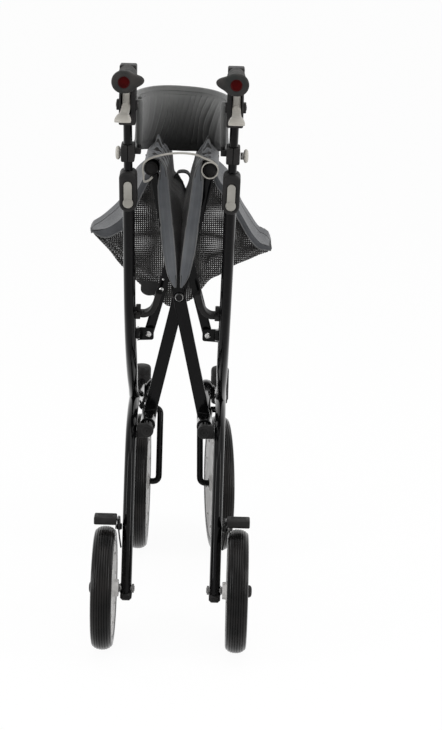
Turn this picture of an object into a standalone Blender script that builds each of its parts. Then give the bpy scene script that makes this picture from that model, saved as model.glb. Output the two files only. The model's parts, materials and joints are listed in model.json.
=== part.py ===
"""Folding four-wheeled rollator, shown folded. Metres, +X right, +Y the way it travels, +Z up."""
import math

import bmesh
import bpy
from mathutils import Matrix, Vector

for old in list(bpy.data.objects):
    bpy.data.objects.remove(old, do_unlink=True)

# Driving dimensions. Y is measured forward from the rear axle, Z from the floor.
REAR_WHEEL_RADIUS = 0.1015
FRONT_WHEEL_RADIUS = 0.127
WHEELBASE = 0.4763
TYRE_WIDTH = 0.0345
REAR_HALF_TRACK = 0.1094
FRONT_HALF_TRACK = 0.073
CASTER_TRAIL = 0.034
CASTER_TURN = math.radians(6.0)

HINGE_X = 0.048
HINGE_Z = 0.337
CROSS_Y = 0.195
CROSS_Z = 0.5525
OPENING_TURN = math.radians(46.0)
RAIL_X = 0.0468
RAIL_Z = 0.785
RAIL_RADIUS = 0.0118
RAIL_REAR = 0.089
RAIL_FRONT = 0.350
ARM_WIDTH = 0.0215
ARM_TOP_WIDTH = 0.015
ARM_THICK = 0.010
ARM_GAP = 0.001
LINK_PIVOT_X = 0.0495
LINK_PIVOT_Z = 0.493
LINK_Y = 0.1735
SHOE_X = 0.0875
SHOE_Y = 0.036
SHOE_Z = 0.196

TUBE_HALF_WIDTH = 0.0095
TUBE_HALF_DEPTH = 0.0150
LEG_HALF_WIDTH = 0.0090
LEG_HALF_DEPTH = 0.0120

HANDLE_X = 0.0815
HANDLE_Y = 0.058
HANDLE_Z = 0.750
HANDLE_SPLAY = 0.020
HANDLE_LEAN = 0.110
INNER_HALF_WIDTH = 0.0070
INNER_HALF_DEPTH = 0.0110
GRIP_X = 0.084
GRIP_Z = 0.9416
GRIP_REAR = -0.085
GRIP_FRONT = 0.030

SEAT_EDGE_X = 0.039
SEAT_EDGE_Z = 0.790
SEAT_REAR = 0.085
SEAT_FRONT = 0.340
BAND_ROD_X = 0.0665
BAND_ROD_Y = 0.070
BAND_DEPTH_Y = 0.287
BAND_TOP = 0.896

FIT = 0.0003
ROUND = 20
SIDES = (-1, 1)

# The object stands centred on its own footprint, so the rear axle lies behind the origin.
REACH = (WHEELBASE + FRONT_WHEEL_RADIUS - REAR_WHEEL_RADIUS) / 2

ARM_LOWER = math.hypot(HINGE_X, CROSS_Z - HINGE_Z)
FOLDED_ANGLE = math.atan2(CROSS_Z - HINGE_Z, HINGE_X)
ARM_UPPER = (RAIL_Z - CROSS_Z) / math.sin(FOLDED_ANGLE)


def collection(name):
    made = bpy.data.collections.get(name) or bpy.data.collections.new(name)
    if made.name not in bpy.context.scene.collection.children:
        bpy.context.scene.collection.children.link(made)
    return made


PARTS = collection("rollator")
CUTTERS = collection("cutters")


def material(name, colour, roughness, metallic=0.0):
    made = bpy.data.materials.get(name) or bpy.data.materials.new(name)
    made.use_nodes = True
    shader = made.node_tree.nodes["Principled BSDF"]
    shader.inputs["Base Color"].default_value = (*colour, 1.0)
    shader.inputs["Roughness"].default_value = roughness
    shader.inputs["Metallic"].default_value = metallic
    made.diffuse_color = (*colour, 1.0)
    return made


GLOSS_BLACK = ("gloss_black_paint", (0.010, 0.010, 0.011), 0.15, 0.0)
MATT_BLACK = ("matt_black_plastic", (0.022, 0.022, 0.024), 0.55, 0.0)
WARM_GREY = ("warm_grey_plastic", (0.52, 0.50, 0.47), 0.45, 0.0)
RIM_GREY = ("rim_grey_plastic", (0.46, 0.45, 0.44), 0.45, 0.0)
TYRE_BLACK = ("tyre_rubber", (0.018, 0.018, 0.019), 0.70, 0.0)
GRIP_RUBBER = ("grip_rubber", (0.060, 0.058, 0.056), 0.75, 0.0)
SEAT_FABRIC = ("seat_fabric", (0.115, 0.130, 0.145), 0.80, 0.0)
BAND_FABRIC = ("band_fabric", (0.090, 0.094, 0.095), 0.75, 0.0)
BAG_MESH = ("bag_mesh", (0.030, 0.030, 0.032), 0.85, 0.0)
WEBBING = ("black_webbing", (0.018, 0.018, 0.019), 0.85, 0.0)


def side_name(base, side):
    return f"{base}_{'left' if side < 0 else 'right'}"


def empty(name, location, parent=None):
    """An empty at a joint, placed in the rear-axle frame."""
    made = bpy.data.objects.new(name, None)
    PARTS.objects.link(made)
    made.empty_display_size = 0.02
    made.parent = parent
    made["place"] = tuple(location)
    base = Vector(parent["place"]) if parent else Vector((0.0, 0.0, 0.0))
    made.location = Vector(location) - base
    return made


ORIGIN = empty("rear_axle_frame", (0.0, 0.0, 0.0))
ORIGIN.location = (0.0, -REACH, 0.0)


def link(obj, finish, body, location=(0.0, 0.0, 0.0), rotation=None):
    """Puts a part in the collection, on its body; location is in the rear-axle frame."""
    PARTS.objects.link(obj)
    body = body or ORIGIN
    obj.parent = body
    base = Vector(body["place"]) if "place" in body else Vector((0.0, 0.0, 0.0))
    obj.location = Vector(location) - base
    if rotation is not None:
        obj.rotation_euler = rotation
    obj.data.materials.clear()
    obj.data.materials.append(material(*finish))
    return obj


def face_outward(bm):
    bmesh.ops.recalc_face_normals(bm, faces=bm.faces[:])
    if bm.calc_volume(signed=True) < 0:
        bmesh.ops.reverse_faces(bm, faces=bm.faces[:])


def mesh_from(name, bm, smooth=True):
    face_outward(bm)
    mesh = bpy.data.meshes.new(name)
    bm.to_mesh(mesh)
    bm.free()
    if smooth:
        mesh.shade_smooth()
        mesh.set_sharp_from_angle(angle=math.radians(35))
    return mesh


def as_mesh(curve, name):
    """Turns a curve object into a mesh with welded caps and removes the curve."""
    CUTTERS.objects.link(curve)
    bpy.context.view_layer.update()
    ready = curve.evaluated_get(bpy.context.evaluated_depsgraph_get())
    mesh = bpy.data.meshes.new_from_object(ready)
    mesh.name = name
    bm = bmesh.new()
    bm.from_mesh(mesh)
    bmesh.ops.remove_doubles(bm, verts=bm.verts[:], dist=0.00001)
    bm.transform(curve.matrix_world)
    face_outward(bm)
    bm.to_mesh(mesh)
    bm.free()
    bpy.data.objects.remove(curve, do_unlink=True)
    mesh.shade_smooth()
    mesh.set_sharp_from_angle(angle=math.radians(35))
    return mesh


def smooth_path(knots, steps):
    """Points on a smooth curve through the knots, with the given steps between two of them."""
    knots = [Vector(k) for k in knots]
    ends = [2 * knots[0] - knots[1]] + knots + [2 * knots[-1] - knots[-2]]
    points = []
    for i in range(1, len(ends) - 2):
        a, b, c, d = ends[i - 1:i + 3]
        for k in range(steps):
            t = k / steps
            points.append(
                0.5 * (2 * b + (c - a) * t + (2 * a - 5 * b + 4 * c - d) * t * t
                       + (3 * b - a - 3 * c + d) * t * t * t)
            )
    points.append(knots[-1])
    return points


def ring_profile(half_width, half_depth, sides):
    """A closed oval outline, used as the section of an oval tube."""
    curve = bpy.data.curves.new("oval", "CURVE")
    curve.dimensions = "2D"
    spline = curve.splines.new("POLY")
    spline.points.add(sides - 1)
    for k, point in enumerate(spline.points):
        angle = 2 * math.pi * k / sides
        point.co = (half_width * math.cos(angle), half_depth * math.sin(angle), 0.0, 1.0)
    spline.use_cyclic_u = True
    guide = bpy.data.objects.new("oval", curve)
    CUTTERS.objects.link(guide)
    guide.hide_render = True
    guide.display_type = "WIRE"
    return guide


def path_curve(name, points, radius=None, section=None, scale=None, resolution=2):
    """A tube along the points: round with a radius, or with the outline of a section."""
    curve = bpy.data.curves.new(name, "CURVE")
    curve.dimensions = "3D"
    curve.use_fill_caps = True
    if section:
        curve.bevel_mode = "OBJECT"
        curve.bevel_object = section
    else:
        curve.bevel_depth = radius
        curve.bevel_resolution = resolution
    spline = curve.splines.new("POLY")
    spline.points.add(len(points) - 1)
    for k, (point, place) in enumerate(zip(spline.points, points)):
        point.co = (*place, 1.0)
        point.radius = scale(k / (len(points) - 1)) if scale else 1.0
    return bpy.data.objects.new(name, curve)


def flat_curve(name, loops, thickness, bevel=0.0):
    """A plate with the outline of the first loop and holes at the others, centred on its own plane."""
    curve = bpy.data.curves.new(name, "CURVE")
    curve.dimensions = "2D"
    curve.fill_mode = "BOTH"
    curve.extrude = thickness / 2 - bevel
    curve.bevel_depth = bevel
    curve.bevel_resolution = 0
    curve.offset = -bevel
    for loop in loops:
        spline = curve.splines.new("POLY")
        spline.points.add(len(loop) - 1)
        for point, (x, y) in zip(spline.points, loop):
            point.co = (x, y, 0.0, 1.0)
        spline.use_cyclic_u = True
    return bpy.data.objects.new(name, curve)


def arc(cx, cy, radius, start, end, steps):
    """Points on an arc, in degrees, ends included."""
    return [
        (cx + radius * math.cos(math.radians(start + (end - start) * k / steps)),
         cy + radius * math.sin(math.radians(start + (end - start) * k / steps)))
        for k in range(steps + 1)
    ]


STAND_UP = Matrix.Rotation(math.radians(90), 4, "X")


def xz_plate(name, loops, y, thickness, bevel=0.0):
    """A plate drawn in X and Z, standing across the travel direction with its middle at y."""
    curve = flat_curve(name, loops, thickness, bevel)
    curve.matrix_world = Matrix.Translation((0.0, y, 0.0)) @ STAND_UP
    return as_mesh(curve, name)


def turned(name, profile, finish, body, location, rotation, steps=ROUND):
    """A turned piece: the closed profile of radius and height is swept round its own Z axis."""
    area = sum(a[0] * b[1] - b[0] * a[1] for a, b in zip(profile, profile[1:] + profile[:1]))
    if area > 0:
        profile = profile[::-1]
    mesh = bpy.data.meshes.new(name)
    count = len(profile)
    edges = [(k, (k + 1) % count) for k in range(count)]
    edges = [(a, b) for a, b in edges if profile[a][0] > 0 or profile[b][0] > 0]
    mesh.from_pydata([(r, 0.0, h) for r, h in profile], edges, [])
    obj = bpy.data.objects.new(name, mesh)
    screw = obj.modifiers.new("turn", "SCREW")
    screw.steps = steps
    screw.render_steps = steps
    screw.use_merge_vertices = True
    screw.merge_threshold = 0.00001
    screw.use_smooth_shade = True
    return link(obj, finish, body, location, rotation)


ALONG_X = (0.0, math.radians(90), 0.0)
ALONG_Y = (math.radians(-90), 0.0, 0.0)


def rod_mesh(radius, start, end, segments=ROUND, radius_end=None):
    """A bmesh of a round rod or cone from start to end."""
    start, end = Vector(start), Vector(end)
    axis = end - start
    turn = axis.to_track_quat("Z", "Y").to_matrix().to_4x4()
    bm = bmesh.new()
    bmesh.ops.create_cone(
        bm, cap_ends=True, segments=segments, radius1=radius,
        radius2=radius if radius_end is None else radius_end, depth=axis.length,
        matrix=Matrix.Translation((start + end) / 2) @ turn,
    )
    return bm


def block_mesh(low, high):
    """A bmesh of a box between two corners."""
    low, high = Vector(low), Vector(high)
    bm = bmesh.new()
    bmesh.ops.create_cube(
        bm, size=1.0,
        matrix=Matrix.Translation((low + high) / 2) @ Matrix.Diagonal((*(high - low), 1.0)),
    )
    return bm


def tool(name, bm):
    """A hidden cutter or adder from a bmesh in the rear-axle frame."""
    obj = bpy.data.objects.new(name, mesh_from(name, bm, smooth=False))
    CUTTERS.objects.link(obj)
    obj.parent = ORIGIN
    obj.hide_render = True
    obj.display_type = "WIRE"
    return obj


def boolean(obj, other, operation="DIFFERENCE"):
    step = obj.modifiers.new(operation.lower(), "BOOLEAN")
    step.operation = operation
    step.object = other
    step.solver = "EXACT"
    return step


def bevel(obj, width, segments=2, angle=40):
    step = obj.modifiers.new("rounded edges", "BEVEL")
    step.width = width
    step.segments = segments
    step.limit_method = "ANGLE"
    step.angle_limit = math.radians(angle)
    return step


def sheet_object(name, rows, columns, place, half_thickness, finish, body):
    """A padded or plain sheet: a grid placed by a function of u and v, thickened both ways.

    half_thickness(u, v) may differ over the sheet."""
    bm = bmesh.new()
    bmesh.ops.create_grid(bm, x_segments=columns, y_segments=rows, size=1.0)
    bm.verts.ensure_lookup_table()
    spots = [((v.co.x + 1) / 2, (v.co.y + 1) / 2) for v in bm.verts]
    for vertex, (u, v) in zip(bm.verts, spots):
        vertex.co = place(u, v)
    mesh = mesh_from(name, bm)
    obj = bpy.data.objects.new(name, mesh)
    group = obj.vertex_groups.new(name="thickness")
    widest = max(half_thickness(u, v) for u, v in spots)
    for index, (u, v) in enumerate(spots):
        group.add([index], half_thickness(u, v) / widest, "REPLACE")
    solid = obj.modifiers.new("thickness", "SOLIDIFY")
    solid.thickness = 2 * widest
    solid.offset = 0.0
    solid.vertex_group = "thickness"
    solid.use_even_offset = False
    return link(obj, finish, body)


def loft(name, rings, finish, body):
    """A closed skin through rings of equal point counts, capped at both ends."""
    bm = bmesh.new()
    made = [[bm.verts.new(p) for p in ring] for ring in rings]
    count = len(rings[0])
    for a, b in zip(made, made[1:]):
        for k in range(count):
            bm.faces.new((a[k], a[(k + 1) % count], b[(k + 1) % count], b[k]))
    bm.faces.new(made[0][::-1])
    bm.faces.new(made[-1])
    return link(bpy.data.objects.new(name, mesh_from(name, bm)), finish, body)


# The handle line of each side: straight, splayed outward and leaning back as it rises.
def handle_point(side, z, across=0.0, ahead=0.0):
    rise = z - HANDLE_Z
    return Vector((side * (HANDLE_X + HANDLE_SPLAY * rise) + across,
                   HANDLE_Y - HANDLE_LEAN * rise + ahead, z))


def handle_matrix(side, z):
    """Frame on the handle line at a height: local Z runs up the line, local Y stays forward."""
    up = (handle_point(side, z + 0.1) - handle_point(side, z)).normalized()
    across = Vector((0.0, 1.0, 0.0)).cross(up).normalized()
    ahead = up.cross(across)
    turn = Matrix((across, ahead, up)).transposed().to_4x4()
    return Matrix.Translation(handle_point(side, z)) @ turn


def along_handle(side, z_low, z_high, half_width, half_depth, sides=18):
    """A bmesh of an oval bar on the handle line."""
    bm = bmesh.new()
    length = (handle_point(side, z_high) - handle_point(side, z_low)).length
    shape = Matrix.Diagonal((half_width, half_depth, length, 1.0))
    bmesh.ops.create_cone(
        bm, cap_ends=True, segments=sides, radius1=1.0, radius2=1.0, depth=1.0,
        matrix=handle_matrix(side, (z_low + z_high) / 2) @ shape,
    )
    return bm


OVAL_TUBE = ring_profile(TUBE_HALF_WIDTH, TUBE_HALF_DEPTH, 12)
OVAL_LEG = ring_profile(LEG_HALF_WIDTH, LEG_HALF_DEPTH, 12)
OVAL_TUBE_SHADE = ring_profile(TUBE_HALF_WIDTH + FIT, TUBE_HALF_DEPTH + FIT, 12)


# Joint places, each an empty that carries its moving pieces. An arm is named for its hinge tube's side,
# and it ends under the other side's rail.
BODIES = {}
for SIDE in SIDES:
    BODIES["frame", SIDE] = empty(side_name("frame_axis", SIDE), (SIDE * HINGE_X, CROSS_Y, HINGE_Z), ORIGIN)
    BODIES["arm", SIDE] = empty(side_name("arm_axis", SIDE), (SIDE * HINGE_X, CROSS_Y, HINGE_Z), ORIGIN)
    BODIES["link", SIDE] = empty(
        side_name("link_axis", SIDE), (SIDE * LINK_PIVOT_X, LINK_Y, LINK_PIVOT_Z), ORIGIN)
    BODIES["rear_wheel", SIDE] = empty(
        side_name("rear_wheel_axis", SIDE), (SIDE * REAR_HALF_TRACK, 0.0, REAR_WHEEL_RADIUS), ORIGIN)
    BODIES["caster", SIDE] = empty(
        side_name("caster_axis", SIDE), (SIDE * FRONT_HALF_TRACK, WHEELBASE + CASTER_TRAIL, 0.27), ORIGIN)
    BODIES["front_wheel", SIDE] = empty(
        side_name("front_wheel_axis", SIDE), (SIDE * FRONT_HALF_TRACK, WHEELBASE, FRONT_WHEEL_RADIUS),
        BODIES["caster", SIDE])
    BODIES["handle", SIDE] = empty(side_name("handle_axis", SIDE), handle_point(SIDE, 0.86), ORIGIN)
    BODIES["lever", SIDE] = empty(side_name("lever_axis", SIDE), (SIDE * 0.086, 0.036, 0.893),
                                  BODIES["handle", SIDE])
    BODIES["clamp", SIDE] = empty(side_name("clamp_axis", SIDE), handle_point(SIDE, 0.817),
                                  BODIES["handle", SIDE])
    BODIES["screw", SIDE] = empty(side_name("screw_axis", SIDE), handle_point(SIDE, 0.815),
                                  BODIES["clamp", SIDE])
    BODIES["button", SIDE] = empty(side_name("button_axis", SIDE), handle_point(SIDE, 0.748), ORIGIN)
    BODIES["shoe", SIDE] = empty(side_name("shoe_axis", SIDE), (SIDE * SHOE_X, SHOE_Y, SHOE_Z), ORIGIN)
    BODIES["seat", SIDE] = empty(side_name("seat_axis", SIDE), (SIDE * SEAT_EDGE_X, 0.0, SEAT_EDGE_Z),
                                 ORIGIN)
BODIES["band", -1] = empty("band_axis_left", (-BAND_ROD_X, BAND_ROD_Y, 0.86), BODIES["clamp", -1])
BODIES["band", 1] = empty("band_axis_right", (0.0, BAND_DEPTH_Y, 0.86), BODIES["band", -1])
BODIES["strap"] = empty("strap_axis", (RAIL_X, RAIL_REAR, RAIL_Z), ORIGIN)
BODIES["caster", 1].rotation_euler = (0.0, 0.0, CASTER_TURN)


# Side frames
def main_tube(side):
    """The long oval tube: straight at the top round the handle tube, then swept forward to the head."""
    side_view = [(0.0775, 0.575), (0.092, 0.525), (0.118, 0.474), (0.165, 0.420), (0.205, 0.386),
                 (0.250, 0.361), (0.330, 0.333), (0.420, 0.315), (0.4915, 0.308)]
    widths = [0.0780, 0.0770, 0.0760, 0.0754, 0.0751, 0.0750, 0.0743, 0.0736, 0.0730]
    knots = [handle_point(side, 0.7775), handle_point(side, 0.680)]
    knots += [(side * x, y, z) for x, (y, z) in zip(widths, side_view)]
    points = smooth_path(knots, 2)
    taller = [handle_point(side, 0.7785)] + points[1:]

    def narrow(t):
        return 1.0 - 0.14 * math.exp(-((t - 0.58) / 0.09) ** 2)

    shade = path_curve("shade", taller, section=OVAL_TUBE_SHADE, scale=narrow)
    shade_mesh = as_mesh(shade, "tube_shade")
    bore = along_handle(side, 0.600, 0.800, INNER_HALF_WIDTH + 0.0005, INNER_HALF_DEPTH + 0.0005)
    tube = bpy.data.objects.new(
        side_name("main_tube", side),
        as_mesh(path_curve("tube", points, section=OVAL_TUBE, scale=narrow), "main_tube"))
    link(tube, GLOSS_BLACK, BODIES["frame", side])
    boolean(tube, tool(side_name("tube_bore", side), bore))
    shape = bmesh.new()
    shape.from_mesh(shade_mesh)
    return tool(side_name("tube_shade", side), shape)


def rear_leg(side, tube_shade):
    """The oval leg that arches up and forward from the rear axle to the underside of the main tube."""
    side_view = [(0.0730, -0.0005, 0.0835), (0.0730, 0.0050, 0.1150), (0.0731, 0.0220, 0.1600),
                 (0.0733, 0.0500, 0.2350), (0.0737, 0.0850, 0.2980), (0.0742, 0.1250, 0.3360),
                 (0.0747, 0.1800, 0.3520), (0.0750, 0.2430, 0.3570)]
    points = smooth_path([(side * x, y, z) for x, y, z in side_view], 2)
    leg = bpy.data.objects.new(
        side_name("rear_leg", side),
        as_mesh(path_curve("leg", points, section=OVAL_LEG), "rear_leg"))
    link(leg, GLOSS_BLACK, BODIES["frame", side])
    boolean(leg, tube_shade)
    axle = rod_mesh(0.0053, (side * 0.05, 0.0, REAR_WHEEL_RADIUS), (side * 0.1, 0.0, REAR_WHEEL_RADIUS))
    boolean(leg, tool(side_name("leg_bore", side), axle))


def caster_head(side):
    """The upright bearing housing of the front caster, with a domed cap."""
    outer = 0.0175
    low, high = 0.275, 0.345
    profile = [(0.0, low), (0.0145, low), (0.0155, low + 0.006), (outer, low + 0.008),
               (outer, high - 0.018), (outer - 0.0008, high - 0.0165), (outer, high - 0.015),
               (outer, high - 0.007), (outer - 0.003, high - 0.002), (0.0, high)]
    turned(side_name("caster_head", side), profile, GLOSS_BLACK, BODIES["frame", side],
           (side * FRONT_HALF_TRACK, WHEELBASE + CASTER_TRAIL, 0.0), (0.0, 0.0, 0.0), 16)


def side_block(side, x_inner, x_outer, low, high):
    """A bmesh of a box that runs outward from x_inner to x_outer on one side."""
    x0, x1 = sorted((side * x_inner, side * x_outer))
    return block_mesh((x0, *low), (x1, *high))


def hinge_tube(side):
    """The fore-and-aft tube that an arm's sleeve turns on, with its welded front boss and web."""
    name = side_name("hinge_tube", side)
    bm = rod_mesh(0.0095, (side * HINGE_X, 0.1300, HINGE_Z), (side * HINGE_X, 0.4000, HINGE_Z))
    obj = bpy.data.objects.new(name, mesh_from(name, bm))
    link(obj, GLOSS_BLACK, BODIES["frame", side])
    boss = rod_mesh(0.0125, (side * HINGE_X, 0.3850, HINGE_Z), (side * HINGE_X, 0.4050, HINGE_Z))
    web = side_block(side, HINGE_X, 0.0637, (0.3870, 0.3180), (0.4030, 0.3400))
    boolean(obj, tool(name + "_boss", boss), "UNION")
    boolean(obj, tool(name + "_web", web), "UNION")


def hinge_bracket(side):
    """The cast rear boss of the hinge tube with the web that ties it to the rear leg."""
    name = side_name("hinge_bracket", side)
    bm = rod_mesh(0.0132, (side * HINGE_X, 0.1130, HINGE_Z), (side * HINGE_X, 0.1297, HINGE_Z))
    obj = bpy.data.objects.new(name, mesh_from(name, bm))
    link(obj, MATT_BLACK, BODIES["frame", side])
    web = side_block(side, HINGE_X, 0.0648, (0.1145, 0.3260), (0.1282, 0.3480))
    boolean(obj, tool(name + "_web", web), "UNION")
    bevel(obj, 0.0012, 1)


def rail_saddle(side):
    """The hooked plastic cradle on the tube that a seat rail drops into when the frame is open."""
    middle = smooth_path([(0.0664, 0.5490, 0.0), (0.0595, 0.5535, 0.0), (0.0520, 0.5575, 0.0),
                          (0.0445, 0.5620, 0.0), (0.0380, 0.5690, 0.0), (0.0338, 0.5785, 0.0)], 2)
    upper, lower = [], []
    for k, point in enumerate(middle):
        ahead = middle[min(k + 1, len(middle) - 1)]
        behind = middle[max(k - 1, 0)]
        run = (ahead - behind).normalized()
        half = 0.0028 + 0.0024 * k / (len(middle) - 1)
        upper.append((side * (point.x + run.y * half), point.y - run.x * half))
        lower.append((side * (point.x - run.y * half), point.y + run.x * half))
    name = side_name("rail_saddle", side)
    obj = bpy.data.objects.new(name, xz_plate(name, [upper + lower[::-1]], 0.1170, 0.036, 0.0012))
    link(obj, MATT_BLACK, BODIES["frame", side])
    tab = side_block(side, 0.0600, 0.0668, (0.0800, 0.5460), (0.1100, 0.5530))
    boolean(obj, tool(name + "_tab", tab), "UNION")


def link_bracket(side):
    """The bent plate on the tube's inner face with the screw that a link turns on."""
    plan = [(0.0660, 0.1020), (0.0660, 0.1665), (0.0634, 0.1690), (0.0410, 0.1690), (0.0410, 0.1630),
            (0.0585, 0.1630), (0.0610, 0.1605), (0.0610, 0.1020)]
    name = side_name("link_bracket", side)
    curve = flat_curve(name, [[(side * x, y) for x, y in plan]], 0.026)
    curve.matrix_world = Matrix.Translation((0.0, 0.0, LINK_PIVOT_Z))
    obj = bpy.data.objects.new(name, as_mesh(curve, name))
    link(obj, GLOSS_BLACK, BODIES["frame", side])
    pin = rod_mesh(0.0040, (side * LINK_PIVOT_X, 0.1670, LINK_PIVOT_Z),
                   (side * LINK_PIVOT_X, 0.1785, LINK_PIVOT_Z), 16)
    head = rod_mesh(0.0050, (side * LINK_PIVOT_X, 0.1605, LINK_PIVOT_Z),
                    (side * LINK_PIVOT_X, 0.1640, LINK_PIVOT_Z), 16)
    for low, high in ((-0.0200, -0.0085), (0.0085, 0.0200)):
        trim = side_block(side, 0.0350, 0.0578, (0.1550, LINK_PIVOT_Z + low), (0.1800, LINK_PIVOT_Z + high))
        boolean(obj, tool(name + "_trim", trim))
    boolean(obj, tool(name + "_pin", pin), "UNION")
    boolean(obj, tool(name + "_head", head), "UNION")


def height_socket(side, tube_shade):
    """The collar at the top of the main tube that guides the handle tube and holds the button."""
    bm = bmesh.new()
    centre = handle_matrix(side, 0.750)
    bmesh.ops.create_cube(bm, size=1.0, matrix=centre @ Matrix.Diagonal((0.0275, 0.044, 0.076, 1.0)))
    name = side_name("height_socket", side)
    obj = bpy.data.objects.new(name, mesh_from(name, bm))
    link(obj, MATT_BLACK, BODIES["frame", side])
    bevel(obj, 0.0075, 2, 60)
    upper = along_handle(side, 0.770, 0.800, INNER_HALF_WIDTH + 0.0006, INNER_HALF_DEPTH + 0.0006)
    boolean(obj, tube_shade)
    boolean(obj, tool(name + "_inner_hole", upper))
    pocket = flat_curve("pocket", [button_outline(0.0006)], 0.0084)
    pocket.matrix_world = handle_matrix(side, 0.750) @ Matrix.Translation((0, -0.0210, 0)) @ STAND_UP
    shape = bmesh.new()
    shape.from_mesh(as_mesh(pocket, "pocket"))
    boolean(obj, tool(name + "_pocket", shape))


def button_outline(grow):
    """A key-hole outline: a strip that ends in a round thumb pad at the bottom."""
    strip = 0.0065 + grow
    pad = 0.0083 + grow
    low, high = -0.016, 0.016
    reach = math.degrees(math.acos(strip / pad))
    return arc(0.0, high, strip, 0, 180, 8) + arc(0.0, low, pad, 180 - reach, 360 + reach, 14)


def height_button(side):
    """The push button in the collar: it travels 3 mm forward to free the handle tube."""
    name = side_name("height_button", side)
    curve = flat_curve(name, [button_outline(0.0)], 0.0035, 0.0008)
    curve.matrix_world = handle_matrix(side, 0.750) @ Matrix.Translation((0, -0.0222, 0)) @ STAND_UP
    link(bpy.data.objects.new(name, as_mesh(curve, name)), WARM_GREY, BODIES["button", side])


# Rear wheels and brakes
def wheel_tyre(name, radius, seat, width, body, centre, steps):
    """A tyre with a flat tread, round shoulders and an open seat for the rim."""
    half = width / 2
    shoulder = [(radius - 0.0105, half), (radius - 0.0045, half - 0.0022), (radius - 0.0012, half - 0.0065),
                (radius, half - 0.0120)]
    crown = [(r, -h) for r, h in shoulder] + shoulder[::-1]
    profile = [(seat, -half + 0.003)] + crown + [(seat, half - 0.003)]
    turned(name, profile, TYRE_BLACK, body, centre, ALONG_X, steps)


def wheel_rim(name, radius, bore, inner_reach, outer_reach, body, centre, side, steps):
    """A moulded rim: hub barrel, dished web and flange in one section."""
    def at(r, h):
        return (r, side * h)

    profile = [at(bore, -inner_reach), at(bore + 0.0085, -inner_reach), at(bore + 0.0110, -0.0100),
               at(radius - 0.016, -0.0080), at(radius - 0.010, -0.0140), at(radius, -0.0140),
               at(radius, 0.0140), at(radius - 0.006, 0.0140), at(radius - 0.010, 0.0040),
               at(bore + 0.014, 0.0060), at(bore + 0.0075, outer_reach), at(bore, outer_reach)]
    turned(name, profile, RIM_GREY, body, centre, ALONG_X, steps)


def rear_wheel(side):
    centre = (side * REAR_HALF_TRACK, 0.0, REAR_WHEEL_RADIUS)
    body = BODIES["rear_wheel", side]
    wheel_tyre(side_name("rear_tyre", side), REAR_WHEEL_RADIUS, 0.0808, TYRE_WIDTH, body, centre, 28)
    wheel_rim(side_name("rear_rim", side), 0.0800, 0.0056, 0.0240, 0.0150, body, centre, side, 20)


def rear_axle(side):
    """The axle bolt with its locking nut inside the leg and a domed cap outside the hub."""
    centre = (side * REAR_HALF_TRACK, 0.0, REAR_WHEEL_RADIUS)
    inner = REAR_HALF_TRACK - 0.0600

    def at(r, h):
        return (r, side * h)

    profile = [at(0.0, -inner), at(0.0062, -inner), at(0.0080, -inner + 0.001), at(0.0080, -inner + 0.0034),
               at(0.0050, -inner + 0.0034), at(0.0050, 0.0160), at(0.0100, 0.0160), at(0.0100, 0.0190),
               at(0.0075, 0.0225), at(0.0, 0.0235)]
    turned(side_name("rear_axle", side), profile, MATT_BLACK, BODIES["frame", side], centre, ALONG_X, 12)


def brake_arm(side):
    """The shoe block over the tyre on its cranked strip, which turns on a pivot beside the leg."""
    name = side_name("brake_arm", side)
    strip = [(0.0040, 0.2205), (0.0215, 0.2205), (0.0290, 0.2150)]
    strip += arc(SHOE_Y, SHOE_Z, 0.0070, 30, -150, 8)
    strip += [(0.0205, 0.2070), (0.0040, 0.2125)]
    curve = flat_curve(name, [strip], 0.006)
    curve.matrix_world = Matrix(((0.0, 0.0, 1.0, side * SHOE_X), (1.0, 0.0, 0.0, 0.0),
                                 (0.0, 1.0, 0.0, 0.0), (0.0, 0.0, 0.0, 1.0)))
    obj = bpy.data.objects.new(name, as_mesh(curve, name))
    link(obj, MATT_BLACK, BODIES["shoe", side])
    block = side_block(side, 0.0900, 0.1270, (0.0, 0.2105), (0.0240, 0.2215))
    bmesh.ops.bevel(block, geom=block.edges[:], offset=0.0020, segments=1, affect="EDGES")
    boss = rod_mesh(0.0062, (side * 0.0828, SHOE_Y, SHOE_Z), (side * 0.0925, SHOE_Y, SHOE_Z), 16)
    boolean(obj, tool(name + "_block", block), "UNION")
    boolean(obj, tool(name + "_boss", boss), "UNION")


# Front casters
def caster_fork(side):
    """One bent rod: down the swivel, across over the tyre, down the inner face and out as the axle."""
    x_out = side * FRONT_HALF_TRACK
    x_in = side * 0.037
    swivel = WHEELBASE + CASTER_TRAIL
    points = [(x_out, swivel, 0.2745), (x_out, swivel, 0.2690), (side * 0.0705, swivel, 0.2640),
              (side * 0.0655, swivel - 0.0003, 0.2620), (side * 0.0450, swivel - 0.0010, 0.2615),
              (side * 0.0395, swivel - 0.0020, 0.2590), (x_in, swivel - 0.0030, 0.2530),
              (x_in, WHEELBASE + 0.004, 0.1420), (side * 0.0395, WHEELBASE + 0.001, 0.1320),
              (side * 0.0460, WHEELBASE, FRONT_WHEEL_RADIUS), (side * 0.0905, WHEELBASE, FRONT_WHEEL_RADIUS)]
    name = side_name("caster_fork", side)
    curve = path_curve(name, points, radius=0.0058, resolution=2)
    obj = bpy.data.objects.new(name, as_mesh(curve, name))
    link(obj, GLOSS_BLACK, BODIES["caster", side])


def front_wheel(side):
    centre = (side * FRONT_HALF_TRACK, WHEELBASE, FRONT_WHEEL_RADIUS)
    body = BODIES["front_wheel", side]
    wheel_tyre(side_name("front_tyre", side), FRONT_WHEEL_RADIUS, 0.1048, TYRE_WIDTH, body, centre, 32)
    wheel_rim(side_name("front_rim", side), 0.1040, 0.0064, 0.0190, 0.0165, body, centre, side, 20)


# Cross brace, seat rails and links
def arm_point(side, along):
    """A point on an arm's centre line; the crossing is at 0 and the hinge end is negative."""
    return (side * math.cos(FOLDED_ANGLE) * -along, CROSS_Z + math.sin(FOLDED_ANGLE) * along)


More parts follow.
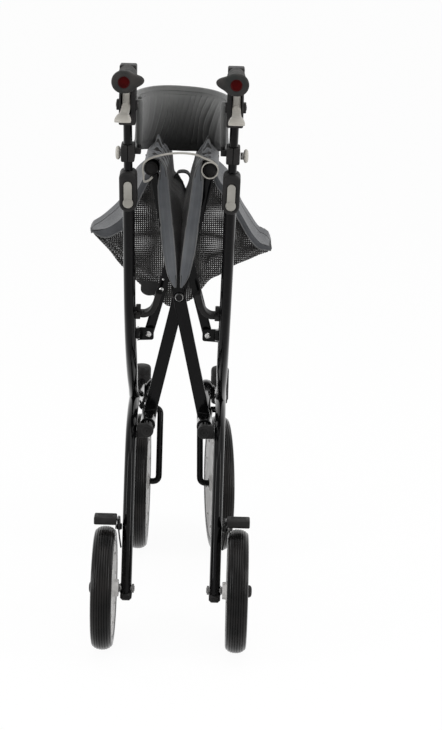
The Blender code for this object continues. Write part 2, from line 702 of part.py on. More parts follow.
def brace_arm(side):
    """A flat arm with a sleeve on its hinge tube, a pivot hole and a top cut to cradle the rail."""
    y = CROSS_Y + side * -(ARM_THICK + ARM_GAP) / 2
    across = (math.sin(FOLDED_ANGLE), side * math.cos(FOLDED_ANGLE))
    stations = [(-ARM_LOWER + 0.004, ARM_WIDTH), (-0.010, ARM_WIDTH), (0.030, ARM_WIDTH - 0.003),
                (0.060, ARM_TOP_WIDTH + 0.001), (ARM_UPPER + 0.008, ARM_TOP_WIDTH)]
    one, other = [], []
    for along, width in stations:
        x, z = arm_point(side, along)
        one.append((x + across[0] * width / 2, z + across[1] * width / 2))
        other.append((x - across[0] * width / 2, z - across[1] * width / 2))
    name = side_name("brace_arm", side)
    obj = bpy.data.objects.new(name, xz_plate(name, [one + other[::-1]], y, ARM_THICK, 0.0022))
    link(obj, GLOSS_BLACK, BODIES["arm", side])
    hinge = (side * HINGE_X, HINGE_Z)
    sleeve = rod_mesh(0.0130, (hinge[0], 0.1500, hinge[1]), (hinge[0], 0.2350, hinge[1]))
    bore = rod_mesh(0.0098, (hinge[0], 0.14, hinge[1]), (hinge[0], 0.25, hinge[1]))
    pivot = rod_mesh(0.0073, (0.0, 0.15, CROSS_Z), (0.0, 0.24, CROSS_Z))
    rail = rod_mesh(RAIL_RADIUS + FIT, (-side * RAIL_X, 0.15, RAIL_Z), (-side * RAIL_X, 0.24, RAIL_Z))
    boolean(obj, tool(name + "_sleeve", sleeve), "UNION")
    boolean(obj, tool(name + "_bore", bore))
    boolean(obj, tool(name + "_pivot_hole", pivot))
    boolean(obj, tool(name + "_rail_cut", rail))


def cross_pivot():
    """The hollow rivet tube that both arms turn on, with a rolled lip at each end."""
    low, high = CROSS_Y - 0.0135, CROSS_Y + 0.0135
    profile = [(0.0045, low), (0.0080, low), (0.0085, low + 0.0008), (0.0085, low + 0.0018),
               (0.0070, low + 0.0022), (0.0070, high - 0.0022), (0.0085, high - 0.0018),
               (0.0085, high - 0.0008), (0.0080, high), (0.0045, high)]
    turned("cross_pivot", profile, GLOSS_BLACK, BODIES["arm", -1], (0.0, 0.0, CROSS_Z), ALONG_Y, 12)


def seat_rail(side):
    """The round fore-and-aft rail that a seat half hangs from, carried by the other side's arm."""
    name = side_name("seat_rail", side)
    bm = rod_mesh(RAIL_RADIUS, (side * RAIL_X, RAIL_REAR, RAIL_Z), (side * RAIL_X, RAIL_FRONT, RAIL_Z))
    obj = bpy.data.objects.new(name, mesh_from(name, bm))
    link(obj, GLOSS_BLACK, BODIES["arm", -side])
    bevel(obj, 0.0012, 1)


def link_reach():
    """Distance from the crossing to a link's free end: the place that fits both folded and open."""
    shut, wide = FOLDED_ANGLE, FOLDED_ANGLE - OPENING_TURN
    x, z = HINGE_X - LINK_PIVOT_X, LINK_PIVOT_Z - HINGE_Z
    cosines = math.cos(shut) - math.cos(wide)
    sines = math.sin(shut) - math.sin(wide)
    spread = math.cos(2 * wide) - math.cos(2 * shut)
    return ARM_LOWER * (x * cosines + z * sines) / (ARM_LOWER * spread + x * cosines - z * sines)


LINK_REACH = link_reach()


def side_link(side):
    """The flat link between the tube bracket and the arm that carries its own side's rail."""
    y = LINK_Y
    low = Vector((side * LINK_PIVOT_X, LINK_PIVOT_Z))
    high_x, high_z = arm_point(-side, LINK_REACH)
    high = Vector((high_x, high_z))
    run = (high - low).normalized()
    tilt = math.degrees(math.atan2(run.y, run.x))
    half = 0.0082
    outline = arc(high.x, high.y, half, tilt - 90, tilt + 90, 8) + arc(low.x, low.y, half, tilt + 90,
                                                                     tilt + 270, 8)
    name = side_name("side_link", side)
    hole = arc(low.x, low.y, 0.0043, 0, 337.5, 15)
    obj = bpy.data.objects.new(name, xz_plate(name, [outline, hole], y, 0.006))
    link(obj, GLOSS_BLACK, BODIES["link", side])
    reach_y = CROSS_Y - ARM_THICK - ARM_GAP / 2 - 0.0005 if side < 0 else CROSS_Y + ARM_GAP / 2 - 0.0005
    stud = rod_mesh(0.0040, (high.x, LINK_Y, high.y), (high.x, reach_y, high.y), 16)
    boolean(obj, tool(name + "_stud", stud), "UNION")


# Handles
def handle_tube(side):
    """The oval tube that slides in the main tube and carries the grip."""
    name = side_name("handle_tube", side)
    bm = along_handle(side, 0.640, 0.8740, INNER_HALF_WIDTH, INNER_HALF_DEPTH)
    link(bpy.data.objects.new(name, mesh_from(name, bm)), GLOSS_BLACK, BODIES["handle", side])


def brake_housing(side):
    """The black casting on top of the handle tube: head, two cheeks and the lever's slot."""
    name = side_name("brake_housing", side)
    top = [(0.0305, 0.9510), (0.0345, 0.9545), (0.0640, 0.9545), (0.0700, 0.9475), (0.0700, 0.9160),
           (0.0640, 0.8940), (0.0600, 0.8620), (0.0260, 0.8620), (0.0260, 0.9060), (0.0305, 0.9140)]
    curve = flat_curve(name, [top], 0.026, 0.0015)
    turn = Matrix(((0.0, 0.0, 1.0, side * 0.0840), (1.0, 0.0, 0.0, 0.0), (0.0, 1.0, 0.0, 0.0),
                   (0.0, 0.0, 0.0, 1.0)))
    curve.matrix_world = turn
    obj = bpy.data.objects.new(name, as_mesh(curve, name))
    link(obj, MATT_BLACK, BODIES["handle", side])
    slot = block_mesh((side * 0.0860 - 0.0080, 0.010, 0.8785), (side * 0.0860 + 0.0080, 0.0505, 0.9210))
    bore = along_handle(side, 0.840, 0.8745, INNER_HALF_WIDTH + FIT, INNER_HALF_DEPTH + FIT)
    ears = rod_mesh(0.0075, (side * 0.086 - 0.0150, 0.036, 0.893), (side * 0.086 + 0.0150, 0.036, 0.893), 16)
    boolean(obj, tool(name + "_pivot_ears", ears), "UNION")
    boolean(obj, tool(name + "_lever_slot", slot))
    boolean(obj, tool(name + "_tube_bore", bore))


def grip_ring(side, y, radius, flare, wing):
    """One section of the grip: round, with a palm wing drawn out toward the middle."""
    points = []
    for k in range(18):
        angle = 2 * math.pi * k / 18
        away = radius + flare * (0.55 + 0.45 * abs(math.cos(angle)))
        inward = max(0.0, math.cos(angle - math.radians(12)))
        away += wing * inward ** 5
        points.append((side * (GRIP_X - away * math.cos(angle)), y, GRIP_Z + away * math.sin(angle)))
    return points


def grip(side):
    """The soft anatomic grip: slim waist in front, flared rear end with a palm wing."""
    stations = [(GRIP_FRONT, 0.0135, 0.0, 0.0), (0.022, 0.0143, 0.0, 0.0), (-0.005, 0.0140, 0.0, 0.0005),
                (-0.035, 0.0140, 0.0005, 0.0025), (-0.060, 0.0140, 0.0028, 0.0065),
                (-0.076, 0.0142, 0.0048, 0.0085), (-0.0835, 0.0140, 0.0044, 0.0075),
                (GRIP_REAR, 0.0128, 0.0042, 0.0065)]
    rings = [grip_ring(side, y, radius, flare, wing) for y, radius, flare, wing in stations]
    loft(side_name("grip", side), rings, GRIP_RUBBER, BODIES["handle", side])


def brake_lever(side):
    """The lever under the grip: cranked at the pivot, waisted, with a flared finger lip."""
    name = side_name("brake_lever", side)
    stations = [(0.0350, 0.9150, 0.0125, 0.0055), (0.0360, 0.9030, 0.0130, 0.0085),
                (0.0340, 0.8930, 0.0135, 0.0105), (0.0200, 0.8880, 0.0135, 0.0070),
                (-0.0100, 0.8868, 0.0140, 0.0055), (-0.0350, 0.8872, 0.0150, 0.0052),
                (-0.0500, 0.8866, 0.0200, 0.0050), (-0.0610, 0.8828, 0.0250, 0.0046),
                (-0.0660, 0.8800, 0.0250, 0.0036)]
    rings = []
    for k, (y, z, width, thick) in enumerate(stations):
        ahead = stations[min(k + 1, len(stations) - 1)]
        behind = stations[max(k - 1, 0)]
        run = Vector((0.0, ahead[0] - behind[0], ahead[1] - behind[1])).normalized()
        up = Vector((1.0, 0.0, 0.0)).cross(run)
        ring = []
        for j in range(12):
            angle = 2 * math.pi * j / 12
            flat_x = math.copysign(abs(math.cos(angle)) ** 0.6, math.cos(angle)) * width / 2
            flat_z = math.copysign(abs(math.sin(angle)) ** 0.6, math.sin(angle)) * thick / 2
            ring.append(Vector((side * 0.086, y, z)) + Vector((flat_x, 0.0, 0.0)) + up * flat_z)
        rings.append(ring)
    loft(name, rings, WARM_GREY, BODIES["lever", side])


def backrest_clamp(side):
    """The clamp block on the handle tube with the upright rod that the band's end slips over."""
    name = side_name("backrest_clamp", side)
    bm = bmesh.new()
    shape = Matrix.Diagonal((0.0215, 0.034, 0.026, 1.0))
    bmesh.ops.create_cube(bm, size=1.0, matrix=handle_matrix(side, 0.817) @ shape)
    obj = bpy.data.objects.new(name, mesh_from(name, bm))
    link(obj, MATT_BLACK, BODIES["clamp", side])
    bevel(obj, 0.0025, 1)
    low = min(side * 0.0625, side * 0.0740)
    high = max(side * 0.0625, side * 0.0740)
    tab = block_mesh((low, 0.058, 0.8120), (high, 0.0735, 0.8215))
    rod = rod_mesh(0.0035, (side * BAND_ROD_X, BAND_ROD_Y, 0.8180), (side * BAND_ROD_X, BAND_ROD_Y, 0.8960), 12)
    bore = along_handle(side, 0.790, 0.840, INNER_HALF_WIDTH + FIT, INNER_HALF_DEPTH + FIT)
    boolean(obj, tool(name + "_tab", tab), "UNION")
    boolean(obj, tool(name + "_rod", rod), "UNION")
    boolean(obj, tool(name + "_bore", bore))


def thumb_screw(side):
    """The clamping screw on the outer side: stem, collar and a mushroom head."""
    centre = handle_point(side, 0.815)
    start = 0.0111

    def at(r, h):
        return (r, side * h)

    profile = [at(0.0, start), at(0.0060, start), at(0.0060, start + 0.0050), at(0.0095, start + 0.0056),
               at(0.0115, start + 0.0072), at(0.0115, start + 0.0098), at(0.0085, start + 0.0120),
               at(0.0, start + 0.0125)]
    turned(side_name("thumb_screw", side), profile, WARM_GREY, BODIES["screw", side], centre, ALONG_X, 16)


# Soft pieces
def arm_inner_x(z):
    """Distance from the mid-plane to the inner edge of an arm's upper half at a height."""
    along = (z - CROSS_Z) / math.sin(FOLDED_ANGLE)
    width = ARM_WIDTH - (ARM_WIDTH - ARM_TOP_WIDTH - 0.001) * min(1.0, max(0.0, along / 0.060))
    return along * math.cos(FOLDED_ANGLE) - width / 2 / math.sin(FOLDED_ANGLE)


def steps_between(pairs, at):
    """Straight-line reading of a short list of pairs."""
    for (a, low), (b, high) in zip(pairs, pairs[1:]):
        if at <= b:
            return low + (high - low) * max(0.0, (at - a) / (b - a))
    return pairs[-1][1]


SEAT_STATIONS = [0.085, 0.087, 0.098, 0.125, 0.150, 0.158, 0.164, 0.183, 0.207, 0.218, 0.232, 0.250, 0.290,
                 0.328, 0.338, SEAT_FRONT]
SEAT_INNER = [(0.590, 0.0012), (0.610, 0.0030), (0.640, 0.0062), (0.700, 0.0124), (0.740, 0.0165),
              (0.776, 0.0210)]
SEAT_OUTER = [(0.590, 0.0048), (0.610, 0.0110), (0.640, 0.0200), (0.700, 0.0310), (0.740, 0.0355),
              (0.776, 0.0365)]


def seat_measures(u, v):
    """Distance from the mid-plane, place, height and half thickness of a seat half at u, v."""
    y = steps_between([(k / (len(SEAT_STATIONS) - 1), spot) for k, spot in enumerate(SEAT_STATIONS)], u)
    squeeze = steps_between([(0.150, 0.0), (0.162, 1.0), (0.210, 1.0), (0.232, 0.0)], y)
    low = 0.6085 + 0.0315 * squeeze
    z = 0.7755 - (0.7755 - low) * v
    inner, outer = steps_between(SEAT_INNER, z), steps_between(SEAT_OUTER, z)
    if squeeze:
        room = arm_inner_x(z) - 0.0018
        pressed_out = min(outer, room)
        pressed_in = max(0.0010, min(inner, pressed_out - 0.80 * (outer - inner)))
        outer = outer * (1 - squeeze) + pressed_out * squeeze
        inner = inner * (1 - squeeze) + pressed_in * squeeze
    # The pad is crowned between its edges, with one stitched channel across it at mid drop, and its
    # rear and front edges are drawn in between their corners.
    crown = 0.42 + 0.58 * math.sin(math.pi * v) ** 0.5
    crown *= 1.0 - 0.32 * math.exp(-((v - 0.5) / 0.05) ** 2)
    side_fall = 0.42 + 0.58 * min(1.0, min(y - SEAT_REAR, SEAT_FRONT - y) / 0.030) ** 0.5
    half = (outer - inner) / 2 * crown * side_fall
    drawn = 0.004 * math.sin(math.pi * v)
    y += drawn * max(0.0, 1.0 - (y - SEAT_REAR) / 0.030)
    y -= drawn * max(0.0, 1.0 - (SEAT_FRONT - y) / 0.030)
    return (outer + inner) / 2, y, z, max(0.0009, half)


def seat_half(side):
    """One padded half of the folding seat, hung from its rail and pressed in where the arms pass."""
    def place(u, v):
        centre, y, z, _ = seat_measures(u, v)
        return (side * centre, y, z)

    def half(u, v):
        return seat_measures(u, v)[3]

    sheet_object(side_name("seat_half", side), 12, len(SEAT_STATIONS) - 1, place, half, SEAT_FABRIC,
                 BODIES["seat", side])


def pull_strap():
    """The webbing loop at the middle of the seat that is pulled up to fold the frame."""
    knots = [(-0.0005, 0.0, 0.655), (-0.0015, 0.0, 0.690), (-0.0060, 0.0, 0.722), (-0.0075, 0.0, 0.748),
             (0.0, 0.0, 0.760), (0.0075, 0.0, 0.748), (0.0060, 0.0, 0.722), (0.0018, 0.0, 0.690)]
    middle = smooth_path(knots, 3)

    def place(u, v):
        point = middle[round(u * (len(middle) - 1))]
        return (point.x, 0.245 + (v - 0.5) * 0.020, point.z)

    sheet_object("pull_strap", 1, len(middle) - 1, place, lambda u, v: 0.0005, WEBBING, BODIES["seat", -1])


BAG_REAR, BAG_FRONT = 0.2125, 0.352
BAG_SECTION = [(0.0625, 0.774), (0.0820, 0.742), (0.1060, 0.708), (0.1330, 0.672), (0.1500, 0.648),
               (0.1520, 0.640), (0.1420, 0.628), (0.1080, 0.602), (0.0720, 0.577), (0.0350, 0.551),
               (0.0180, 0.5435), (0.0032, 0.5570)]
BAG_NOTCH = [(0.0565, 0.765), (0.0570, 0.740), (0.0540, 0.716), (0.0510, 0.700), (0.0470, 0.684),
             (0.0440, 0.670), (0.0400, 0.655), (0.0340, 0.640), (0.0280, 0.622), (0.0220, 0.604),
             (0.0140, 0.590), (0.0040, 0.578)]


def bag_half(side):
    """One half of the mesh bag under the seat: end panels, side panel and floor, open on top."""
    rows = [("end", 0.0), ("end", 0.5), ("end", 1.0), ("run", 0.25), ("run", 0.5), ("run", 0.75),
            ("back", 1.0), ("back", 0.5), ("back", 0.0)]

    def place(u, v):
        column = round(u * (len(BAG_SECTION) - 1))
        kind, share = rows[round(v * (len(rows) - 1))]
        outer, notch = BAG_SECTION[column], BAG_NOTCH[column]
        if kind == "run":
            bow = math.sin(math.pi * share)
            y = BAG_REAR + (BAG_FRONT - BAG_REAR) * share
            away = outer[0] * (1 + 0.012 * bow)
            return (side * away, y, outer[1] - 0.004 * bow)
        x = notch[0] + (outer[0] - notch[0]) * share
        z = notch[1] + (outer[1] - notch[1]) * share
        y = BAG_REAR if kind == "end" else BAG_FRONT
        bulge = 0.010 * math.sin(math.pi * share) * (1 if kind == "back" else 0.3)
        return (side * x, y + bulge, z)

    sheet_object(side_name("bag", side), len(rows) - 1, len(BAG_SECTION) - 1, place,
                 lambda u, v: 0.0011, BAG_MESH, BODIES["arm", -side])


def band_line(share):
    """Plan of one half of the backrest band: from the clamp rod, forward and round to the middle."""
    if share < 0.28:
        t = share / 0.28
        return (0.0665 + 0.0100 * math.sin(t * math.pi / 2), 0.0765 + 0.0585 * t)
    angle = (share - 0.28) / 0.72 * math.pi / 2
    return (0.0765 * math.cos(angle) ** 0.85, 0.1350 + (BAND_DEPTH_Y - 0.1350) * math.sin(angle) ** 0.95)


def backrest_band(side):
    """Half of the padded fabric band that bows forward between the two clamps, gathered along its run."""
    first = 0.0 if side < 0 else 0.030

    def place(u, v):
        share = first + (1.0 - first) * u
        x, y = band_line(share)
        ahead = band_line(min(1.0, share + 0.01))
        behind = band_line(max(0.0, share - 0.01))
        run = Vector((ahead[0] - behind[0], ahead[1] - behind[1])).normalized()
        fade = min(1.0, max(0.0, (share - 0.06) / 0.12)) * min(1.0, max(0.0, (0.94 - share) / 0.12))
        fold = 0.0015 * fade * math.sin(2 * math.pi * (6.0 * share + 0.15 * v)) * (0.55 + 0.45 * v)
        x = max(x + run.y * fold, 0.0026)
        y -= run.x * fold
        low = steps_between([(0.0, 0.8260), (0.12, 0.8180), (0.28, 0.8104), (0.50, 0.7995), (0.84, 0.7990),
                             (0.92, 0.7885), (1.0, 0.7870)], share)
        return (side * x, y, low + (BAND_TOP - low) * v)

    def half(u, v):
        edge = min(1.0, 0.50 + 2.6 * min(v, 1 - v))
        return (0.0034 - 0.0020 * max(0.0, (u - 0.80) / 0.20)) * edge

    sheet_object(side_name("backrest_band", side), 5, 24, place, half, BAND_FABRIC, BODIES["band", side])


def fold_strap():
    """The moulded strap that holds the frame shut: a ring on one rail and a hook over the other."""
    ring = arc(RAIL_X, RAIL_Z, 0.0138, 60, 420, 20)[:-1]
    hole = arc(RAIL_X, RAIL_Z, RAIL_RADIUS + 0.0004, 60, 420, 20)[:-1]
    name = "fold_strap"
    obj = bpy.data.objects.new(name, xz_plate(name, [ring, hole], RAIL_REAR - 0.0015, 0.009))
    link(obj, WARM_GREY, BODIES["strap"])
    knots = [(0.0560, 0.7942, 0.0), (0.0500, 0.7988, 0.0), (0.0384, 0.8038, 0.0), (0.0223, 0.8094, 0.0),
             (-0.0017, 0.8110, 0.0), (-0.0256, 0.8084, 0.0), (-0.0462, 0.8022, 0.0),
             (-0.0574, 0.7946, 0.0), (-0.0606, 0.7850, 0.0), (-0.0590, 0.7735, 0.0), (-0.0500, 0.7690, 0.0)]
    middle = smooth_path(knots, 2)
    upper, lower = [], []
    for k, point in enumerate(middle):
        run = (middle[min(k + 1, len(middle) - 1)] - middle[max(k - 1, 0)]).normalized()
        upper.append((point.x - run.y * 0.0010, point.y + run.x * 0.0010))
        lower.append((point.x + run.y * 0.0010, point.y - run.x * 0.0010))
    arch = bmesh.new()
    arch.from_mesh(xz_plate("arch", [upper + lower[::-1]], RAIL_REAR - 0.0015, 0.0089))
    boolean(obj, tool("fold_strap_arch", arch), "UNION")


for SIDE in SIDES:
    TUBE_SHADE = main_tube(SIDE)
    rear_leg(SIDE, TUBE_SHADE)
    caster_head(SIDE)
    hinge_tube(SIDE)
    hinge_bracket(SIDE)
    rail_saddle(SIDE)
    link_bracket(SIDE)
    height_socket(SIDE, TUBE_SHADE)
    height_button(SIDE)
    rear_wheel(SIDE)
    rear_axle(SIDE)
    brake_arm(SIDE)
    caster_fork(SIDE)
    front_wheel(SIDE)
    brace_arm(SIDE)
    seat_rail(SIDE)
    side_link(SIDE)
    handle_tube(SIDE)
    brake_housing(SIDE)
    grip(SIDE)
    brake_lever(SIDE)
    backrest_clamp(SIDE)
    thumb_screw(SIDE)
    seat_half(SIDE)
    bag_half(SIDE)
    backrest_band(SIDE)
cross_pivot()
pull_strap()
fold_strap()

bpy.context.view_layer.update()
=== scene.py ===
"""Folding rollator, folded, as it stands in a studio: seat, bag and band dressed over the frame."""

import json
import math

import bmesh
import bpy
from mathutils import Matrix, Vector

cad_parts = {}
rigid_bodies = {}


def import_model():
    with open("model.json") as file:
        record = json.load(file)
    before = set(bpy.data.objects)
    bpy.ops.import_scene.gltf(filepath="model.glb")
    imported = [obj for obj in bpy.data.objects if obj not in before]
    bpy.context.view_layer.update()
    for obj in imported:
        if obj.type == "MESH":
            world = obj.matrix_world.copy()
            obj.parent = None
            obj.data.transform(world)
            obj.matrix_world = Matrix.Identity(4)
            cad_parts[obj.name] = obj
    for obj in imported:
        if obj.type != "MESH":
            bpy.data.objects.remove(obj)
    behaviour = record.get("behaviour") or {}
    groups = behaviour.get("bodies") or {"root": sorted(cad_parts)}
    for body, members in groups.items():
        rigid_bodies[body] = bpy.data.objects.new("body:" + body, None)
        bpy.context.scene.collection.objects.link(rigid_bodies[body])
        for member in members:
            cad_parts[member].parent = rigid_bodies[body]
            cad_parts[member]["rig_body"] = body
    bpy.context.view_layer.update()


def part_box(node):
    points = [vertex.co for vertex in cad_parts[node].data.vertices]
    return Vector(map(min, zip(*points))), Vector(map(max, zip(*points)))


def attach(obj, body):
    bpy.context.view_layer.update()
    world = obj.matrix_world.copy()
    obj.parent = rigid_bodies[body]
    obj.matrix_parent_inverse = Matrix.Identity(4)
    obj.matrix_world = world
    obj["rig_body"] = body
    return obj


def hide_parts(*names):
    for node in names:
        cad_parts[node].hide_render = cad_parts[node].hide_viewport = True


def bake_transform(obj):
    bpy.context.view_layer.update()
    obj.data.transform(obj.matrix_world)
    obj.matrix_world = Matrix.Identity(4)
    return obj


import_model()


# Camera
# The photographer stood 3 m behind the walker, a little to its right and above the handles, and looked
# 15 degrees down. The lens is a short tele, so the upright tubes stay nearly parallel.
CAMERA_PLACE = Vector((0.064, -3.1789, 1.281))
CAMERA_TURN = math.radians(0.175)
CAMERA_DROP = math.radians(15.177)
CAMERA_ROLL = math.radians(1.621)
FOCAL_PIXELS, PHOTO_HEIGHT = 1901.6, 730

looking = Vector((math.sin(CAMERA_TURN) * math.cos(CAMERA_DROP),
                  math.cos(CAMERA_TURN) * math.cos(CAMERA_DROP), -math.sin(CAMERA_DROP)))
level = Vector((math.cos(CAMERA_TURN), -math.sin(CAMERA_TURN), 0.0))
upward = level.cross(looking)
rolled_right = level * math.cos(CAMERA_ROLL) + upward * math.sin(CAMERA_ROLL)
rolled_up = upward * math.cos(CAMERA_ROLL) - level * math.sin(CAMERA_ROLL)
camera_data = bpy.data.cameras.new("camera")
camera_data.sensor_width = 36.0
camera_data.lens = FOCAL_PIXELS / PHOTO_HEIGHT * camera_data.sensor_width
camera = bpy.data.objects.new("camera", camera_data)
bpy.context.scene.collection.objects.link(camera)
turn = Matrix((rolled_right, rolled_up, -looking)).transposed().to_4x4()
camera.matrix_world = Matrix.Translation(CAMERA_PLACE) @ turn
bpy.context.scene.camera = camera


# Studio
# A pale sweep of paper on the floor, large soft boxes at both sides and one overhead, and white all
# round, so that the black tubes show long pale edges.
bpy.context.scene.view_settings.view_transform = "Standard"


def soft_box(name, place, target, width, height, power):
    """A lamp behind a white sheet, aimed at a target."""
    data = bpy.data.lights.new(name, "AREA")
    data.shape = "RECTANGLE"
    data.size, data.size_y, data.energy = width, height, power
    lamp = bpy.data.objects.new(name, data)
    bpy.context.scene.collection.objects.link(lamp)
    lamp.location = place
    lamp.rotation_euler = (Vector(target) - Vector(place)).to_track_quat("-Z", "Y").to_euler()


soft_box("left_box", (-2.6, -1.6, 1.6), (0, 0, 0.5), 0.6, 2.2, 34)
soft_box("right_box", (2.6, -1.2, 1.5), (0, 0, 0.5), 0.6, 2.2, 30)
soft_box("top_box", (0.2, -0.6, 3.2), (0, 0, 0.4), 2.4, 2.4, 34)


def combined(nodes, links, operation, one, other):
    """A maths node of a pattern with another pattern or a number."""
    node = nodes.new("ShaderNodeMath")
    node.operation = operation
    links.new(one, node.inputs[0])
    if isinstance(other, float):
        node.inputs[1].default_value = other
    else:
        links.new(other, node.inputs[1])
    return node.outputs[0]


def white_where_seen(tree, lit, white, output, share=None):
    """Shows white to the eye, straight, mirrored or through glass, and lit to all other light."""
    nodes, links = tree.nodes, tree.links
    path = nodes.new("ShaderNodeLightPath").outputs
    seen = path["Is Camera Ray"]
    for ray in ("Is Glossy Ray", "Is Transmission Ray"):
        seen = combined(nodes, links, "MAXIMUM", seen, path[ray])
    if share:
        seen = combined(nodes, links, "MULTIPLY", seen, share)
    choose = nodes.new("ShaderNodeMixShader")
    for k, source in enumerate((seen, lit.outputs[0], white.outputs[0])):
        links.new(source, choose.inputs[k])
    links.new(choose.outputs[0], nodes[output].inputs["Surface"])


WHITE = (1.0, 1.0, 1.0, 1.0)
world = bpy.data.worlds.new("white_room")
world.use_nodes = True
bpy.context.scene.world = world
lit = world.node_tree.nodes["Background"]
seen = world.node_tree.nodes.new("ShaderNodeBackground")
for background, strength in ((lit, 0.62), (seen, 1.0)):
    background.inputs["Color"].default_value = WHITE
    background.inputs["Strength"].default_value = strength
white_where_seen(world.node_tree, lit, seen, "World Output")

paper = bpy.data.materials.new("studio_paper")
paper.use_nodes = True
matt = paper.node_tree.nodes["Principled BSDF"]
matt.inputs["Base Color"].default_value = (0.92, 0.92, 0.92, 1.0)
matt.inputs["Roughness"].default_value = 0.9
glow = paper.node_tree.nodes.new("ShaderNodeEmission")
glow.inputs["Color"].default_value = WHITE
white_where_seen(paper.node_tree, matt, glow, "Material Output", 0.95)
bpy.ops.mesh.primitive_plane_add(size=40.0, location=(0.0, 0.0, -0.0005))
floor = bpy.context.object
floor.name = "studio_floor"
floor.data.materials.append(paper)


# Side frame tubes
# Each side is one long oval aluminium tube, straight at the handle and swept forward to the caster head,
# with an arched oval leg welded under it. Both are sprayed gloss black over the bare metal.
SIDES = ((-1, "left"), (1, "right"))
AXLE_Y = (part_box("rear_tyre_left")[0].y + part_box("rear_tyre_left")[1].y) / 2
TUBE_HALF_WIDTH, TUBE_HALF_DEPTH = 0.0095, 0.015
LEG_HALF_WIDTH, LEG_HALF_DEPTH = 0.009, 0.012
HANDLE_X, HANDLE_Y, HANDLE_Z = 0.0815, 0.058, 0.75
HANDLE_SPLAY, HANDLE_LEAN = 0.02, 0.11


def spot(x, y, z):
    """A place measured forward from the rear axle."""
    return Vector((x, y + AXLE_Y, z))


def handle_point(side, z):
    """Where the line of a handle tube is at a height: it leans back and splays out as it rises."""
    rise = z - HANDLE_Z
    return spot(side * (HANDLE_X + HANDLE_SPLAY * rise), HANDLE_Y - HANDLE_LEAN * rise, z)


def mm(width, *numbers):
    """Millimetres in a row, grouped into tuples of metres."""
    return [tuple(n / 1000 for n in numbers[k:k + width]) for k in range(0, len(numbers), width)]


def smooth_path(knots, steps):
    """A smooth curve through all its knots."""
    knots = [Vector(k) for k in knots]
    ends = [2 * knots[0] - knots[1]] + knots + [2 * knots[-1] - knots[-2]]
    points = []
    for i in range(1, len(ends) - 2):
        a, b, c, d = ends[i - 1:i + 3]
        for k in range(steps):
            t = k / steps
            points.append(0.5 * (2 * b + (c - a) * t + (2 * a - 5 * b + 4 * c - d) * t * t
                                 + (3 * b - a - 3 * c + d) * t * t * t))
    points.append(knots[-1])
    return points


def grid_faces(bm, rows, around=False, capped=False, uv_size=None):
    """Joins rows of points to a skin; around closes each row on itself, capped fills both ends."""
    verts = [[bm.verts.new(p) for p in row] for row in rows]
    layer = bm.loops.layers.uv.get("cloth") or bm.loops.layers.uv.new("cloth")
    last = len(rows[0]) if around else len(rows[0]) - 1
    for i in range(len(verts) - 1):
        for k in range(last):
            n = (k + 1) % len(rows[0])
            face = bm.faces.new((verts[i][k], verts[i][n], verts[i + 1][n], verts[i + 1][k]))
            if uv_size:
                corners = ((i, k), (i, k + 1), (i + 1, k + 1), (i + 1, k))
                for loop, (row, column) in zip(face.loops, corners):
                    loop[layer].uv = (row / (len(rows) - 1) * uv_size[0], column / last * uv_size[1])
    if capped:
        bm.faces.new(verts[0][::-1])
        bm.faces.new(verts[-1])


def heading(points, k):
    """The way a line runs at its point k."""
    return (points[min(k + 1, len(points) - 1)] - points[max(k - 1, 0)]).normalized()


def turns(sides):
    """Cosine and sine at equal steps round a circle."""
    return [(math.cos(2 * math.pi * j / sides), math.sin(2 * math.pi * j / sides)) for j in range(sides)]


def swept(bm, points, half_width, half_depth, sides=28, narrow=None):
    """An oval tube along points; its width lies along X and its depth square to the path."""
    rows = []
    for k, point in enumerate(points):
        run = heading(points, k)
        wide = (Vector((1, 0, 0)) - run * run.x).normalized()
        size = narrow(k / (len(points) - 1)) if narrow else 1.0
        half, deep = wide * half_width * size, run.cross(wide) * half_depth * size
        rows.append([point + half * c + deep * s for c, s in turns(sides)])
    grid_faces(bm, rows, around=True, capped=True)


def make(name, bm, material, body, replaced=(), angle=40):
    """A piece with its materials, riding on a body and standing for the solids that it hides."""
    bmesh.ops.recalc_face_normals(bm, faces=bm.faces[:])
    mesh = bpy.data.meshes.new(name)
    bm.to_mesh(mesh)
    bm.free()
    mesh.shade_smooth()
    mesh.set_sharp_from_angle(angle=math.radians(angle))
    piece = bpy.data.objects.new(name, mesh)
    bpy.context.scene.collection.objects.link(piece)
    coats = material if isinstance(material, tuple) else (material,)
    for coat in coats:
        mesh.materials.append(coat)
    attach(piece, body)
    if replaced:
        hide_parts(*replaced)
    return piece


def noise(nodes, links, scale, detail):
    """Cloudy noise laid by the piece's own place."""
    place = nodes.new("ShaderNodeTexCoord")
    texture = nodes.new("ShaderNodeTexNoise")
    texture.inputs["Scale"].default_value = scale
    texture.inputs["Detail"].default_value = detail
    links.new(place.outputs["Object"], texture.inputs["Vector"])
    return texture.outputs["Fac"]


def spread(nodes, links, source, low, high, start=0.35, stop=0.65):
    """Turns a pattern into a value that runs from low to high."""
    reach = nodes.new("ShaderNodeMapRange")
    for k, value in enumerate((start, stop, low, high), 1):
        reach.inputs[k].default_value = value
    links.new(source, reach.inputs["Value"])
    return reach.outputs["Result"]


def two_tones(nodes, links, source, one, other, start=0.35, stop=0.65):
    """Turns a pattern into a colour that runs from one to the other."""
    ramp = nodes.new("ShaderNodeValToRGB")
    for step, place, colour in zip(ramp.color_ramp.elements, (start, stop), (one, other)):
        step.position, step.color = place, (*colour, 1.0)
    links.new(source, ramp.inputs["Fac"])
    return ramp.outputs["Color"]


def relief(nodes, links, height, strength, distance):
    """Lets a pattern stand up from the surface."""
    bump = nodes.new("ShaderNodeBump")
    bump.inputs["Strength"].default_value = strength
    bump.inputs["Distance"].default_value = distance
    links.new(height, bump.inputs["Height"])
    links.new(bump.outputs["Normal"], nodes["Principled BSDF"].inputs["Normal"])


